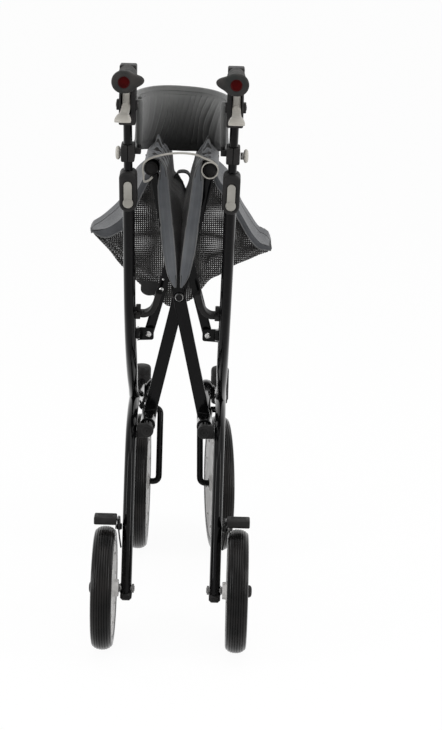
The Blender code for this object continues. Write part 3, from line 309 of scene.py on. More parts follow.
def finish(name, colour, roughness, tones=None, dull=None, grain=None, metallic=0.0, sheen=0.0, specular=0.5):
    """A material with noise, given by scale and detail, in its colour, its roughness and its relief."""
    material = bpy.data.materials.new(name)
    material.use_nodes = True
    nodes, links = material.node_tree.nodes, material.node_tree.links
    shader = nodes["Principled BSDF"].inputs
    shader["Base Color"].default_value = (*colour, 1.0)
    shader["Roughness"].default_value = roughness
    shader["Metallic"].default_value = metallic
    shader["Sheen Weight"].default_value = sheen
    shader["Specular IOR Level"].default_value = specular
    if tones:
        links.new(two_tones(nodes, links, noise(nodes, links, *tones[:2]), *tones[2:]), shader["Base Color"])
    if dull:
        links.new(spread(nodes, links, noise(nodes, links, *dull[:2]), *dull[2:]), shader["Roughness"])
    if grain:
        relief(nodes, links, noise(nodes, links, *grain[:2]), *grain[2:])
    return material


# Sprayed gloss lacquer: a very slight orange peel and a few duller, handled patches.
PAINT = finish("gloss_black_paint", (0.002, 0.002, 0.0022), 0.08,
               (260, 4, (0.0015, 0.0015, 0.0018), (0.004, 0.0038, 0.0038), 0.45, 0.75), (14, 3, 0.05, 0.13),
               (420, 1, 0.012, 0.0004), specular=0.13)
LEG_VIEW = mm(3, 73, 0.4, 95, 73, 5, 115, 73.1, 22, 160, 73.3, 50, 235, 73.7, 85, 298, 74.2, 125, 336,
              74.7, 180, 352, 75, 245, 357.5)
TUBE_VIEW = mm(3, 78, 77.5, 575, 77, 92, 525, 76, 118, 474, 75.4, 165, 420, 75.1, 205, 386, 75, 250, 361,
               74.3, 330, 333, 73.6, 420, 315, 73, 496, 307.5)


def pinched(t):
    """The tube is a little narrower where it bends forward."""
    return 1.0 - 0.14 * math.exp(-((t - 0.58) / 0.09) ** 2)


for side, tag in SIDES:
    bm = bmesh.new()
    knots = [handle_point(side, 0.7775), handle_point(side, 0.68)]
    knots += [spot(side * x, y, z) for x, y, z in TUBE_VIEW]
    swept(bm, smooth_path(knots, 8), TUBE_HALF_WIDTH, TUBE_HALF_DEPTH, 32, pinched)
    make(f"long_tube_{tag}", bm, PAINT, f"frame_{tag}", [f"main_tube_{tag}"])
    bm = bmesh.new()
    swept(bm, smooth_path([spot(side * x, y, z) for x, y, z in LEG_VIEW], 8), LEG_HALF_WIDTH,
          LEG_HALF_DEPTH, 28)
    make(f"arched_leg_{tag}", bm, PAINT, f"frame_{tag}", [f"rear_leg_{tag}"])


# Leg ends
# A moulded nylon plug is pressed into the open foot of each leg. It stands a little proud of the tube
# all round.
def block(bm, place, size, edge, segments=3, turned=None):
    """A box with rounded edges, centred on a place."""
    matrix = Matrix.Translation(place) @ (turned or Matrix.Identity(4)) @ Matrix.Diagonal((*size, 1.0))
    made = bmesh.ops.create_cube(bm, size=1.0, matrix=matrix)["verts"]
    edges = list({e for v in made for e in v.link_edges})
    bmesh.ops.bevel(bm, geom=edges, offset=edge, segments=segments, affect="EDGES", profile=0.5)


# Glass-filled nylon: dull black with a fine spark texture and paler rubbed patches.
MATT = finish("matt_black_plastic", (0.011, 0.011, 0.011), 0.5,
              (35, 4, (0.009, 0.009, 0.009), (0.019, 0.018, 0.018)), (60, 3, 0.42, 0.62),
              (1400, 2, 0.18, 0.0003), specular=0.14)
for side, tag in SIDES:
    bm = bmesh.new()
    block(bm, spot(side * 0.073, 0.0004, 0.09), (0.019, 0.025, 0.014), 0.004, 1)
    make(f"leg_plug_{tag}", bm, MATT, f"frame_{tag}")


# Caster heads
# A moulded bearing sleeve sits on the front end of each tube, and a domed cap closes its top.
def lathe(bm, profile, place, axis, steps=48):
    """Turns a closed outline of (radius, height) about an axis through a place."""
    place, axis = Vector(place), Vector(axis).normalized()
    wide = axis.orthogonal().normalized()
    deep = axis.cross(wide)
    rings = [[bm.verts.new(place + axis * h + (wide * c + deep * s) * r) for r, h in profile]
             for c, s in turns(steps)]
    count = len(profile)
    for j in range(steps):
        for k in range(count):
            n = (k + 1) % count
            if profile[k][0] or profile[n][0]:
                bm.faces.new((rings[j][k], rings[j][n], rings[(j + 1) % steps][n], rings[(j + 1) % steps][k]))
    made = [v for ring in rings for v in ring]
    bmesh.ops.remove_doubles(bm, verts=made, dist=0.000001)


HEAD_Y, HEAD_LOW, HEAD_HIGH = 0.4763 + 0.034, 0.275, 0.345
for side, tag in SIDES:
    bm = bmesh.new()
    sleeve = [(r, HEAD_LOW + h) for r, h in mm(2, 0, 0, 14, 0, 15, 1, 15.4, 6, 16.2, 6.6, 16.8, 8)]
    cap = [(r, HEAD_HIGH - h) for r, h in mm(2, 16.8, 18.2, 16.6, 17.6, 16.3, 17, 16.6, 16.4, 16.8, 15.8,
                                             16.8, 7.5, 16.2, 4.2, 14.6, 1.8, 11.5, 0.4, 0, 0)]
    lathe(bm, sleeve + cap, spot(side * 0.073, HEAD_Y, 0), (0, 0, 1), 40)
    make(f"caster_bearing_{tag}", bm, MATT, f"frame_{tag}", [f"caster_head_{tag}"])


# Hinge tubes and their brackets
# Under each long tube runs a short round tube that the brace turns on. A cast boss holds it at the
# rear and is tied to the leg by a web; a welded boss holds it in front.
def rod(bm, start, end, radius, edge=0.0006, steps=28):
    """A round bar with softened ends."""
    length = (end - start).length
    foot = [(0, 0), (radius - edge, 0), (radius - edge * 0.3, edge * 0.3), (radius, edge)]
    lathe(bm, foot + [(r, length - h) for r, h in foot[::-1]], start, end - start, steps)


HINGE_X, HINGE_Z = 0.048, 0.337
for side, tag in SIDES:
    bm = bmesh.new()
    rod(bm, spot(side * HINGE_X, 0.13, HINGE_Z), spot(side * HINGE_X, 0.4, HINGE_Z), 0.0095)
    rod(bm, spot(side * HINGE_X, 0.385, HINGE_Z), spot(side * HINGE_X, 0.405, HINGE_Z), 0.0125, 0.0015, 36)
    block(bm, spot(side * 0.056, 0.395, 0.329), (0.0156, 0.016, 0.022), 0.0016)
    make(f"hinge_bar_{tag}", bm, PAINT, f"frame_{tag}", [f"hinge_tube_{tag}"])
    bm = bmesh.new()
    lathe(bm, mm(2, 0, 2, 1.6, 2, 2, 0.8, 5, 0.6, 5.6, 1.2, 6.2, 0.6, 8.4, 0.2, 10.2, 0.8, 11.2, 2.6, 11.4, 5,
                 11.4, 14.8, 10.9, 16.3, 9.8, 16.7, 0, 16.7),
          spot(side * HINGE_X, 0.113, HINGE_Z), (0, 1, 0), 40)
    block(bm, spot(side * 0.0565, 0.1213, 0.337), (0.0166, 0.0137, 0.022), 0.002)
    make(f"cast_boss_{tag}", bm, MATT, f"frame_{tag}", [f"hinge_bracket_{tag}"])


# Rail saddles
# A curved plastic arm on the inner face of each tube ends in a hook that catches the seat rail when
# the frame is open. A small barb at its root clips into the tube.
def sketch(bm, loops, thickness, edge, matrix, rounds=2):
    """A plate with the outline of the first loop and holes at the others, its edges rounded."""
    curve = bpy.data.curves.new("sketch", "CURVE")
    curve.dimensions = "2D"
    curve.fill_mode = "BOTH"
    curve.extrude = thickness / 2 - edge
    curve.bevel_depth = edge
    curve.bevel_resolution = rounds
    curve.offset = -edge
    for loop in loops:
        spline = curve.splines.new("POLY")
        spline.points.add(len(loop) - 1)
        for point, (x, y) in zip(spline.points, loop):
            point.co = (x, y, 0.0, 1.0)
        spline.use_cyclic_u = True
    drawn = bpy.data.objects.new("sketch", curve)
    mesh = bpy.data.meshes.new_from_object(drawn)
    bpy.data.objects.remove(drawn)
    mesh.transform(matrix)
    mesh.materials.clear()
    bm.from_mesh(mesh)
    bpy.data.meshes.remove(mesh)
    bmesh.ops.remove_doubles(bm, verts=bm.verts[:], dist=0.000005)


UPRIGHT = Matrix.Rotation(math.radians(90), 4, "X")


def standing(y):
    """Draws a sketch in X and Z, across the way of travel, with its middle at y from the rear axle."""
    return Matrix.Translation((0.0, y + AXLE_Y, 0.0)) @ UPRIGHT


def widened(middle, half):
    """The outline of a strip along a line, with half its width given by a share of the way."""
    one, other = [], []
    for k, point in enumerate(middle):
        run = heading(middle, k)
        reach = half(k / (len(middle) - 1))
        one.append((point.x - run.y * reach, point.y + run.x * reach))
        other.append((point.x + run.y * reach, point.y - run.x * reach))
    return one + other[::-1]


for side, tag in SIDES:
    bm = bmesh.new()
    line = mm(3, 69, 541.2, 0, 60, 539.7, 0, 52.5, 540.5, 0, 44, 545.5, 0, 37.8, 555.5, 0, 35, 564.5, 0,
              31.8, 577, 0)
    middle = [Vector((side * p.x, p.y, 0)) for p in smooth_path(line, 5)]
    sketch(bm, [widened(middle, lambda t: 0.0028 + 0.0024 * t)], 0.036, 0.0018, standing(0.117))
    block(bm, spot(side * 0.065, 0.095, 0.542), (0.009, 0.03, 0.0075), 0.0014)
    block(bm, spot(side * 0.0652, 0.11, 0.5505), (0.008, 0.022, 0.0085), 0.0014)
    make(f"saddle_hook_{tag}", bm, MATT, f"frame_{tag}", [f"rail_saddle_{tag}"])


# Link brackets
# A bent steel plate on the inner face of each tube carries the lower end of its side link. It is
# lacquered with the frame, and the screw in it is bright zinc.
def pan_head(bm, place, axis, radius, height):
    """The round head of a machine screw with a crossed recess."""
    place, axis = Vector(place), Vector(axis).normalized()
    lathe(bm, [(0, -0.0006), (radius, -0.0006), (radius, height * 0.45), (radius * 0.86, height * 0.8),
               (radius * 0.52, height * 0.98), (radius * 0.5, height * 0.55), (0, height * 0.55)],
          place, axis, 24)
    lay = axis.to_track_quat("Z", "Y").to_matrix().to_4x4()
    for spin in (45, 135):
        turned = lay @ Matrix.Rotation(math.radians(spin), 4, "Z")
        block(bm, place + axis * height * 0.7, (radius * 0.92, radius * 0.16, height * 0.42), radius * 0.04, 1,
              turned)


def arc(cx, cy, radius, start, end, steps):
    """Points on a circle between two angles in degrees."""
    angles = [math.radians(start + (end - start) * k / steps) for k in range(steps + 1)]
    return [(cx + radius * math.cos(a), cy + radius * math.sin(a)) for a in angles]


def sideways(x, z=0.0):
    """Draws a sketch in Y, from the rear axle, and Z, with its middle at x."""
    return Matrix(((0, 0, 1, x), (1, 0, 0, AXLE_Y), (0, 1, 0, z), (0, 0, 0, 1)))


# Bright zinc on steel fasteners: clear silver with cloudy, slightly yellow patches.
ZINC = finish("zinc_steel", (0.62, 0.62, 0.63), 0.3, (300, 3, (0.5, 0.5, 0.5), (0.74, 0.73, 0.71)),
              (500, 2, 0.2, 0.42), metallic=1.0)
LINK_PIVOT_X, LINK_PIVOT_Z = 0.0495, 0.493
for side, tag in SIDES:
    bm = bmesh.new()
    plate = arc(0.0448, -0.0062, 0.004, 180, 270, 6) + [(0.064, -0.0112), (0.0672, -0.0118), (0.068, -0.0135)]
    plate += [(0.068, 0.0125), (0.066, 0.0108), (0.06, 0.0104)] + arc(0.0448, 0.0064, 0.004, 90, 180, 6)
    sketch(bm, [[(side * x, LINK_PIVOT_Z + z) for x, z in plate]], 0.006, 0.0008, standing(0.166))
    arm = mm(2, 167, -10.6, 167, 11, 104, 26, 96, 26, 96, 9, 104, 6.2)
    sketch(bm, [arm], 0.0056, 0.0007, sideways(side * 0.0652, LINK_PIVOT_Z))
    rod(bm, spot(side * LINK_PIVOT_X, 0.166, LINK_PIVOT_Z), spot(side * LINK_PIVOT_X, 0.1785, LINK_PIVOT_Z),
        0.004)
    make(f"link_plate_{tag}", bm, PAINT, f"frame_{tag}", [f"link_bracket_{tag}"])
    bm = bmesh.new()
    pan_head(bm, spot(side * LINK_PIVOT_X, 0.1632, LINK_PIVOT_Z), (0, -1, 0), 0.005, 0.0029)
    make(f"link_screw_{tag}", bm, ZINC, f"frame_{tag}")


# Height collars and buttons
# A moulded collar caps each long tube and guides the handle tube. A pale push button sits in a
# recessed key-hole slot on its rear face and frees the handle when it is pressed.
def warm_grey_plastic(name, dark, light):
    """Warm light grey moulded plastic with a soft grain and faint handling marks."""
    return finish(name, light, 0.45, (40, 5, dark, light), (120, 3, 0.34, 0.52), (1600, 1, 0.12, 0.0003))


def handle_frame(side, z):
    """Local Z up the handle line, local Y forward, at a height."""
    up = (handle_point(side, z + 0.1) - handle_point(side, z)).normalized()
    across = Vector((0.0, 1.0, 0.0)).cross(up).normalized()
    frame_turn = Matrix((across, up.cross(across), up)).transposed().to_4x4()
    return Matrix.Translation(handle_point(side, z)) @ frame_turn


def cut(bm, draw, *shape, moved=None, operation="DIFFERENCE"):
    """Takes from a bmesh, or joins to it, what draw makes of a shape."""
    tool = bmesh.new()
    draw(tool, *shape)
    if moved:
        tool.transform(moved)
    pair = []
    for name, source in (("stock", bm), ("tool", tool)):
        bmesh.ops.recalc_face_normals(source, faces=source.faces[:])
        mesh = bpy.data.meshes.new(name)
        source.to_mesh(mesh)
        source.free()
        pair.append(bpy.data.objects.new(name, mesh))
        bpy.context.scene.collection.objects.link(pair[-1])
    step = pair[0].modifiers.new("cut", "BOOLEAN")
    step.operation, step.object, step.solver = operation, pair[1], "EXACT"
    bpy.context.view_layer.update()
    result = bmesh.new()
    result.from_object(pair[0], bpy.context.evaluated_depsgraph_get())
    for one in pair:
        bpy.data.objects.remove(one, do_unlink=True)
    return result


def key_hole(grow):
    """A narrow strip over a round pad, widened all round."""
    strip, pad = 0.0065 + grow, 0.0083 + grow
    reach = math.degrees(math.acos(strip / pad))
    return arc(0, 0.016, strip, 0, 180, 16) + arc(0, -0.0125, pad, 180 - reach, 360 + reach, 26)


BUTTON_GREY = warm_grey_plastic("button_grey_plastic", (0.22, 0.212, 0.19), (0.28, 0.27, 0.245))


def oval_bar(bm, side, low, high, half_width, half_depth, sides=36):
    """A straight oval bar on the handle line, between two heights."""
    rows = [[handle_frame(side, z) @ Vector((half_width * c, half_depth * s, 0)) for c, s in turns(sides)]
            for z in (low, high)]
    grid_faces(bm, rows, around=True, capped=True)


for side, tag in SIDES:
    lay = handle_frame(side, 0.752)
    bm = bmesh.new()
    shell = arc(0, -0.0145, 0.0138, 180, 360, 24) + arc(0.0043, 0.027, 0.0095, 0, 90, 8)
    shell += arc(-0.0043, 0.027, 0.0095, 90, 180, 8)
    sketch(bm, [shell], 0.039, 0.0045, lay @ Matrix.Translation((0, -0.0025, 0)) @ UPRIGHT, 4)
    bm = cut(bm, oval_bar, side, 0.7, 0.7775, TUBE_HALF_WIDTH + 0.0002, TUBE_HALF_DEPTH + 0.0002)
    bm = cut(bm, oval_bar, side, 0.765, 0.8, 0.0076, 0.0116)
    bm = cut(bm, sketch, [key_hole(0.0012)], 0.009, 0.0008, lay @ Matrix.Translation((0, -0.0215, 0)) @ UPRIGHT)
    make(f"height_collar_{tag}", bm, MATT, f"frame_{tag}", [f"height_socket_{tag}"], angle=30)
    bm = bmesh.new()
    sketch(bm, [key_hole(0.0)], 0.0035, 0.0011, lay @ Matrix.Translation((0, -0.0222, 0)) @ UPRIGHT, 3)
    lathe(bm, mm(2, 0, 0.2, 6.8, 0.2, 7.2, 1.4, 6.6, 2.1, 5.4, 1.7, 0, 1.3),
          lay @ Vector((0, -0.0234, -0.0125)), lay.to_3x3() @ Vector((0, -1, 0)), 28)
    make(f"push_button_{tag}", bm, BUTTON_GREY, f"button_{tag}", [f"height_button_{tag}"])


# Wheels
# Each wheel is a solid ribbed rubber tyre on a moulded grey disc rim. The rear ones are smaller and
# run beside the legs; the front ones sit in the casters, and the right caster is turned a little.
TYRE_WIDTH, REAR_RADIUS, FRONT_RADIUS = 0.0345, 0.1015, 0.127


def ribbed_tyre(bm, radius, seat, centre, axis):
    """Seven ribs round the tread between grooves, rolled shoulders and a bead that grips the rim."""
    half = TYRE_WIDTH / 2
    wall = [(seat, half - 0.003), (seat + 0.004, half - 0.0012), (radius - 0.015, half - 0.0002),
            (radius - 0.0108, half), (radius - 0.0078, half - 0.0006), (radius - 0.0056, half - 0.0019)]
    tread, crown, ribs = [], half - 0.0036, 7
    pitch = 2 * crown / ribs
    for k in range(ribs):
        for share, sink in ((0.02, 0.0009), (0.08, 0.0006), (0.16, 0.0002), (0.3, 0.0), (0.7, 0.0),
                            (0.86, 0.0002), (0.94, 0.0006)):
            h = -crown + (k + share) * pitch
            tread.append((radius - sink - 0.0042 * (abs(h) / crown) ** 2.5, h))
    lathe(bm, [(r, -h) for r, h in wall] + tread + wall[::-1], centre, axis, 96)


def disc_rim(bm, radius, bore, inward, outward, pips, centre, axis):
    """Hub barrel, dished web with moulded pips on the inner side, and a rolled flange."""
    rings = [(bore, -inward), (bore + 0.0078, -inward), (bore + 0.0085, -inward + 0.0007)]
    rings += [(bore + r, h) for r, h in mm(2, 9.2, -16.6, 10.4, -15.6, 15, -15.2)]
    rings += [(radius - r, h) for r, h in mm(2, 20, -15.4, 11, -16, 6, -16.4, 3, -16.2, 1, -15.2, 0, -14, 0, 14,
                                             5, 14.2, 7, 13.2, 9.6, 6, 12, 4.4)]
    rings += [(bore + 0.02, 0.0052), (bore + 0.014, 0.0062), (bore + 0.0084, outward - 0.001),
              (bore + 0.0075, outward), (bore, outward)]
    axis = Vector(axis).normalized()
    lathe(bm, rings, centre, axis, 80)
    wide = axis.orthogonal().normalized()
    deep = axis.cross(wide)
    for j in range(pips):
        a = 2 * math.pi * (j + 0.3) / pips
        away = (wide * math.cos(a) + deep * math.sin(a)) * (radius - 0.0215)
        lathe(bm, mm(2, 0, -0.6, 2.4, -0.6, 2.4, 1, 1.8, 1.5, 1, 0.4, 0, 0.2),
              Vector(centre) + away - axis * 0.0152, -axis, 14)


# Black rubber: satin with dusty brown bloom between the ribs and fine scuffs across the tread.
RUBBER = finish("tyre_rubber", (0.006, 0.0055, 0.0055), 0.22,
                (22, 5, (0.005, 0.005, 0.005), (0.014, 0.0125, 0.012), 0.4, 0.75), (90, 4, 0.16, 0.26),
                (700, 3, 0.05, 0.0005), specular=0.13)
# Pale grey moulded rim: satin, with flow marks and a fine grain.
RIM_GREY = finish("rim_grey_plastic", (0.46, 0.45, 0.44), 0.42,
                  (18, 4, (0.41, 0.4, 0.39), (0.5, 0.49, 0.48)), (60, 3, 0.34, 0.5), (1200, 1, 0.15, 0.0003))
AXLE_Z, TRACK, FRONT_TRACK, FRONT_AXLE_Y = 0.1015, 0.1094, 0.073, 0.4763
SWIVEL_Y = FRONT_AXLE_Y + 0.034
CASTER_TURNS = {-1: 0.0, 1: math.radians(6.0)}


def in_caster(side):
    """Turns a place drawn straight ahead to where the caster stands, about its upright swivel."""
    pin = spot(side * FRONT_TRACK, SWIVEL_Y, 0)
    turn = Matrix.Rotation(CASTER_TURNS[side], 4, "Z")
    return Matrix.Translation(pin) @ turn @ Matrix.Translation(-pin)


for side, tag in SIDES:
    rear_hub, front_hub = spot(side * TRACK, 0, AXLE_Z), spot(side * FRONT_TRACK, FRONT_AXLE_Y, FRONT_RADIUS)
    for end, centre, turn, radius, seat, disc in (
            ("rear", rear_hub, Matrix(), REAR_RADIUS, 0.0803, (0.0801, 0.0056, 0.024, 0.015, 7)),
            ("front", front_hub, in_caster(side), FRONT_RADIUS, 0.1043, (0.1041, 0.0064, 0.019, 0.0165, 9))):
        bm = bmesh.new()
        ribbed_tyre(bm, radius, seat, centre, (side, 0, 0))
        bm.transform(turn)
        make(f"{end}_tread_{tag}", bm, RUBBER, f"{end}_wheel_{tag}", [f"{end}_tyre_{tag}"], angle=32)
        bm = bmesh.new()
        disc_rim(bm, *disc, centre, (side, 0, 0))
        bm.transform(turn)
        make(f"{end}_disc_{tag}", bm, RIM_GREY, f"{end}_wheel_{tag}", [f"{end}_rim_{tag}"], angle=32)


# Rear axles
# A dark plated bolt passes through the leg and the hub: a locking nut inside, a spacer and washers
# between leg and wheel, and a domed black cap pressed over its head outside.
# Bolts and pins plated dark nickel: blackish metal with cloudy patches.
NICKEL = finish("dark_nickel", (0.14, 0.14, 0.14), 0.28, (400, 3, (0.09, 0.09, 0.09), (0.22, 0.215, 0.21)),
                (700, 2, 0.2, 0.4), metallic=1.0)


def hexagon(bm, place, axis, across, depth):
    """A nut or bolt head with bevelled faces."""
    lay = Matrix.Translation(place) @ Vector(axis).to_track_quat("Z", "Y").to_matrix().to_4x4()
    rows = [[lay @ Vector((across * size * c, across * size * s, h)) for c, s in turns(6)]
            for h, size in ((0, 0.52), (depth * 0.15, 0.577), (depth * 0.85, 0.577), (depth, 0.52))]
    grid_faces(bm, rows, around=True, capped=True)


for side, tag in SIDES:
    bm = bmesh.new()
    rod(bm, spot(side * 0.059, 0, AXLE_Z), spot(side * 0.1254, 0, AXLE_Z), 0.0046, 0.0008, 24)
    hexagon(bm, spot(side * 0.06, 0, AXLE_Z), (side, 0, 0), 0.013, 0.0036)
    rod(bm, spot(side * 0.0822, 0, AXLE_Z), spot(side * 0.0834, 0, AXLE_Z), 0.008, 0.0003, 28)
    rod(bm, spot(side * 0.0838, 0, AXLE_Z), spot(side * 0.0852, 0, AXLE_Z), 0.0066, 0.0003, 28)
    make(f"axle_bolt_{tag}", bm, NICKEL, f"frame_{tag}", [f"rear_axle_{tag}"])
    bm = bmesh.new()
    lathe(bm, mm(2, 0, 15.6, 9.4, 15.6, 10.2, 16.2, 10.2, 20, 9.8, 21.7, 8.8, 23.1, 7.2, 24.1, 4.6, 24.7,
                 0, 24.9),
          spot(side * TRACK, 0, AXLE_Z), (side, 0, 0), 32)
    make(f"axle_cap_{tag}", bm, MATT, f"frame_{tag}")


# Rear brakes
# A moulded foot block sits over each rear tyre on a cranked steel strip. The strip turns on a bolt in
# the leg, and a slim bent spring on its inner side lifts the block off the tread.
SHOE_X, SHOE_Y, SHOE_Z = 0.0875, 0.036, 0.196
for side, tag in SIDES:
    bm = bmesh.new()
    block(bm, spot(side * 0.109, 0.012, 0.217), (0.037, 0.024, 0.0132), 0.0022, 4)
    for k in range(3):
        block(bm, spot(side * 0.109, 0.006 + 0.006 * k, 0.2236), (0.026, 0.0014, 0.001), 0.0003, 1)
    make(f"brake_block_{tag}", bm, MATT, f"shoe_{tag}", [f"brake_arm_{tag}"])
    bm = bmesh.new()
    strip = mm(2, 4, 220, 21, 220, 26.2, 218, 30, 214)
    strip += arc(SHOE_Y, SHOE_Z, 0.0066, 30, -150, 12) + [(0.022, 0.206), (0.018, 0.21), (0.004, 0.2125)]
    sketch(bm, [strip], 0.0044, 0.0009, sideways(side * SHOE_X))
    rod(bm, spot(side * 0.0829, SHOE_Y, SHOE_Z), spot(side * 0.0915, SHOE_Y, SHOE_Z), 0.0052, 0.001)
    spring = smooth_path(mm(3, 88.5, 23, 210, 88, 19.5, 201, 86.8, 18.5, 190, 85.5, 20.5, 178, 84.3, 23.5, 168,
                            83.8, 24, 164), 6)
    make(f"brake_crank_{tag}", bm, PAINT, f"shoe_{tag}")
    bm = bmesh.new()
    swept(bm, [spot(side * p.x, p.y, p.z) for p in spring], 0.0013, 0.0026, 12)
    make(f"brake_spring_{tag}", bm, MATT, f"shoe_{tag}")
    bm = bmesh.new()
    hexagon(bm, spot(side * 0.0914, SHOE_Y, SHOE_Z), (side, 0, 0), 0.008, 0.0026)
    make(f"brake_bolt_{tag}", bm, ZINC, f"shoe_{tag}")


# Caster forks
# One bent steel rod is the swivel pin, the fork and the axle of each front wheel: it comes down out of
# the head, crosses over the tyre, drops along its inner face and turns outward through the hub.
def rounded_route(corners, radius, steps=7):
    """Points along straight runs whose corners are rounded off."""
    corners = [Vector(c) for c in corners]
    points = [corners[0]]
    for before, here, after in zip(corners, corners[1:], corners[2:]):
        into, out = (here - before), (after - here)
        bend = min(radius, into.length * 0.48, out.length * 0.48)
        first, last = here - into.normalized() * bend, here + out.normalized() * bend
        for k in range(steps + 1):
            t = k / steps
            points.append(first * (1 - t) ** 2 + here * (2 * t * (1 - t)) + last * t * t)
    points.append(corners[-1])
    return points


def cord_along(bm, points, radius, sides=10, wide=None, uv_size=(0.2, 0.006)):
    """A round bar or cord along points, without twist; wide is the side that its section starts from."""
    if wide is None:
        wide = Vector((0.0, 0.0, 1.0)).cross(points[1] - points[0])
        wide = wide if wide.length > 1e-6 else Vector((1.0, 0.0, 0.0))
    rows = []
    for k, point in enumerate(points):
        run = heading(points, k)
        wide = (wide - run * wide.dot(run)).normalized()
        deep = run.cross(wide)
        rows.append([point + (wide * c + deep * s) * radius for c, s in turns(sides)])
    grid_faces(bm, rows, around=True, capped=True, uv_size=uv_size)


ROD_RADIUS = 0.0058
for side, tag in SIDES:
    corners = [(FRONT_TRACK, SWIVEL_Y, 0.276), (FRONT_TRACK, SWIVEL_Y, 0.2616),
               (0.037, SWIVEL_Y - 0.001, 0.2614), (0.037, FRONT_AXLE_Y, FRONT_RADIUS),
               (0.0905, FRONT_AXLE_Y, FRONT_RADIUS)]
    bm = bmesh.new()
    cord_along(bm, rounded_route([spot(side * x, y, z) for x, y, z in corners], 0.012), ROD_RADIUS, 24,
               Vector((0.0, 1.0, 0.0)), None)
    for reach, radius in ((0.0528, 0.0088), (0.0898, 0.01)):
        collar = spot(side * reach, FRONT_AXLE_Y, FRONT_RADIUS)
        rod(bm, collar, collar + Vector((side * 0.0012, 0, 0)), radius, 0.0003)
    bm.transform(in_caster(side))
    make(f"fork_rod_{tag}", bm, PAINT, f"caster_{tag}", [f"caster_fork_{tag}"])


# Cross brace
# Two flat aluminium arms cross on a hollow zinc rivet with a plug in it. Each is welded to a sleeve on
# its hinge tube and has a shallow seat at the top, where the rail of the other side is welded in.
CROSS_Y, CROSS_Z, ARM_THICK, ARM_GAP = 0.195, 0.5525, 0.01, 0.001
RAIL_X, RAIL_Z, RAIL_RADIUS = 0.0468, 0.785, 0.0118
FOLDED = math.atan2(CROSS_Z - HINGE_Z, HINGE_X)
ARM_LOWER = math.hypot(HINGE_X, CROSS_Z - HINGE_Z)
ARM_UPPER = (RAIL_Z - CROSS_Z) / math.sin(FOLDED)
ARM_WIDTHS = ((-ARM_LOWER + 0.004, 0.0215), (-0.01, 0.0215), (0.03, 0.0185), (0.06, 0.016),
              (ARM_UPPER + 0.008, 0.015))


def arm_point(side, along):
    """X and Z of a place on an arm's middle line, measured up from the rivet."""
    return Vector((side * math.cos(FOLDED) * -along, CROSS_Z + math.sin(FOLDED) * along))


ARM_RIDES = {-1: "arm_to_right_rail", 1: "arm_to_left_rail"}
for side, tag in SIDES:
    y = CROSS_Y - side * (ARM_THICK + ARM_GAP) / 2
    across = Vector((math.sin(FOLDED), side * math.cos(FOLDED)))
    edges = [(arm_point(side, along), width / 2) for along, width in ARM_WIDTHS]
    outline = [p + across * w for p, w in edges] + [p - across * w for p, w in edges[::-1]]
    bm = bmesh.new()
    sketch(bm, [outline, arc(0, CROSS_Z, 0.0073, 0, 350, 35)], ARM_THICK, 0.0022, standing(y), 3)
    bm = cut(bm, rod, spot(-side * RAIL_X, 0.15, RAIL_Z), spot(-side * RAIL_X, 0.24, RAIL_Z),
             RAIL_RADIUS + 0.0002, 0.0001, 40)
    bm = cut(bm, rod, spot(side * HINGE_X, 0.14, HINGE_Z), spot(side * HINGE_X, 0.25, HINGE_Z),
             0.0098, 0.0001, 40)
    lathe(bm, mm(2, 9.8, 150, 12, 150, 12.7, 150.3, 13, 151.2, 13, 154.5, 12.6, 155.2, 12.6, 179.8, 12.6, 229.8,
                 13, 230.5, 13, 233.8, 12.7, 234.7, 12, 235, 9.8, 235),
          spot(side * HINGE_X, 0, HINGE_Z), (0, 1, 0), 44)
    for face in (-1, 1):
        foot = arm_point(side, -ARM_LOWER + 0.0135)
        block(bm, spot(foot.x, y + face * 0.0052, foot.y), (0.0185, 0.003, 0.0036), 0.0014, 2,
              Matrix.Rotation(side * (math.pi / 2 - FOLDED), 4, "Y"))
    make(f"cross_arm_{tag}", bm, PAINT, ARM_RIDES[side], [f"brace_arm_{tag}"], angle=30)

bm = bmesh.new()
lathe(bm, mm(2, 5.7, -12.4, 5.8, -13.3, 6.2, -13.7, 6.6, -13.4, 6.8, -12.6, 7.1, -11.3, 7, -11.2, 7, 11.2,
             7.1, 11.3, 7, 12.6, 6.7, 13.4, 6.1, 13.7, 5.6, 13.3, 5.4, 12.4),
      spot(0, CROSS_Y, CROSS_Z), (0, 1, 0), 44)
make("pivot_rivet", bm, ZINC, "arm_to_right_rail", ["cross_pivot"])
bm = bmesh.new()
lathe(bm, mm(2, 0, -11.2, 4.6, -11.4, 5.2, -12, 5.5, -11.8, 5.5, 11.8, 5.2, 12, 4.6, 11.4, 0, 11.2),
      spot(0, CROSS_Y, CROSS_Z), (0, 1, 0), 36)
make("pivot_plug", bm, MATT, "arm_to_right_rail")


# Seat rails
# Two round tubes run fore and aft under the edges of the seat. Each open end holds a pressed-in
# black plug with a sunken face.
RAIL_REAR, RAIL_FRONT = 0.089, 0.35
for side, tag in SIDES:
    bm = bmesh.new()
    mouth = mm(2, 10.4, 6, 10.6, 0.4, 11.2, 0, 11.6, 0.3, 11.8, 1)
    lathe(bm, [(r, RAIL_REAR + h) for r, h in mouth] + [(r, RAIL_FRONT - h) for r, h in mouth[::-1]],
          spot(side * RAIL_X, 0, RAIL_Z), (0, 1, 0), 48)
    make(f"rail_{tag}", bm, PAINT, ARM_RIDES[-side], [f"seat_rail_{tag}"])
    bm = bmesh.new()
    for face, end in ((1, RAIL_REAR), (-1, RAIL_FRONT)):
        lathe(bm, mm(2, 0, 4, 6, 3.6, 8.2, 2.6, 9, 1, 9.6, 0.3, 10.2, 0.4, 10.4, 1.2, 10.4, 9, 0, 9),
              spot(side * RAIL_X, end, RAIL_Z), (0, face, 0), 40)
    make(f"rail_plug_{tag}", bm, MATT, ARM_RIDES[-side])


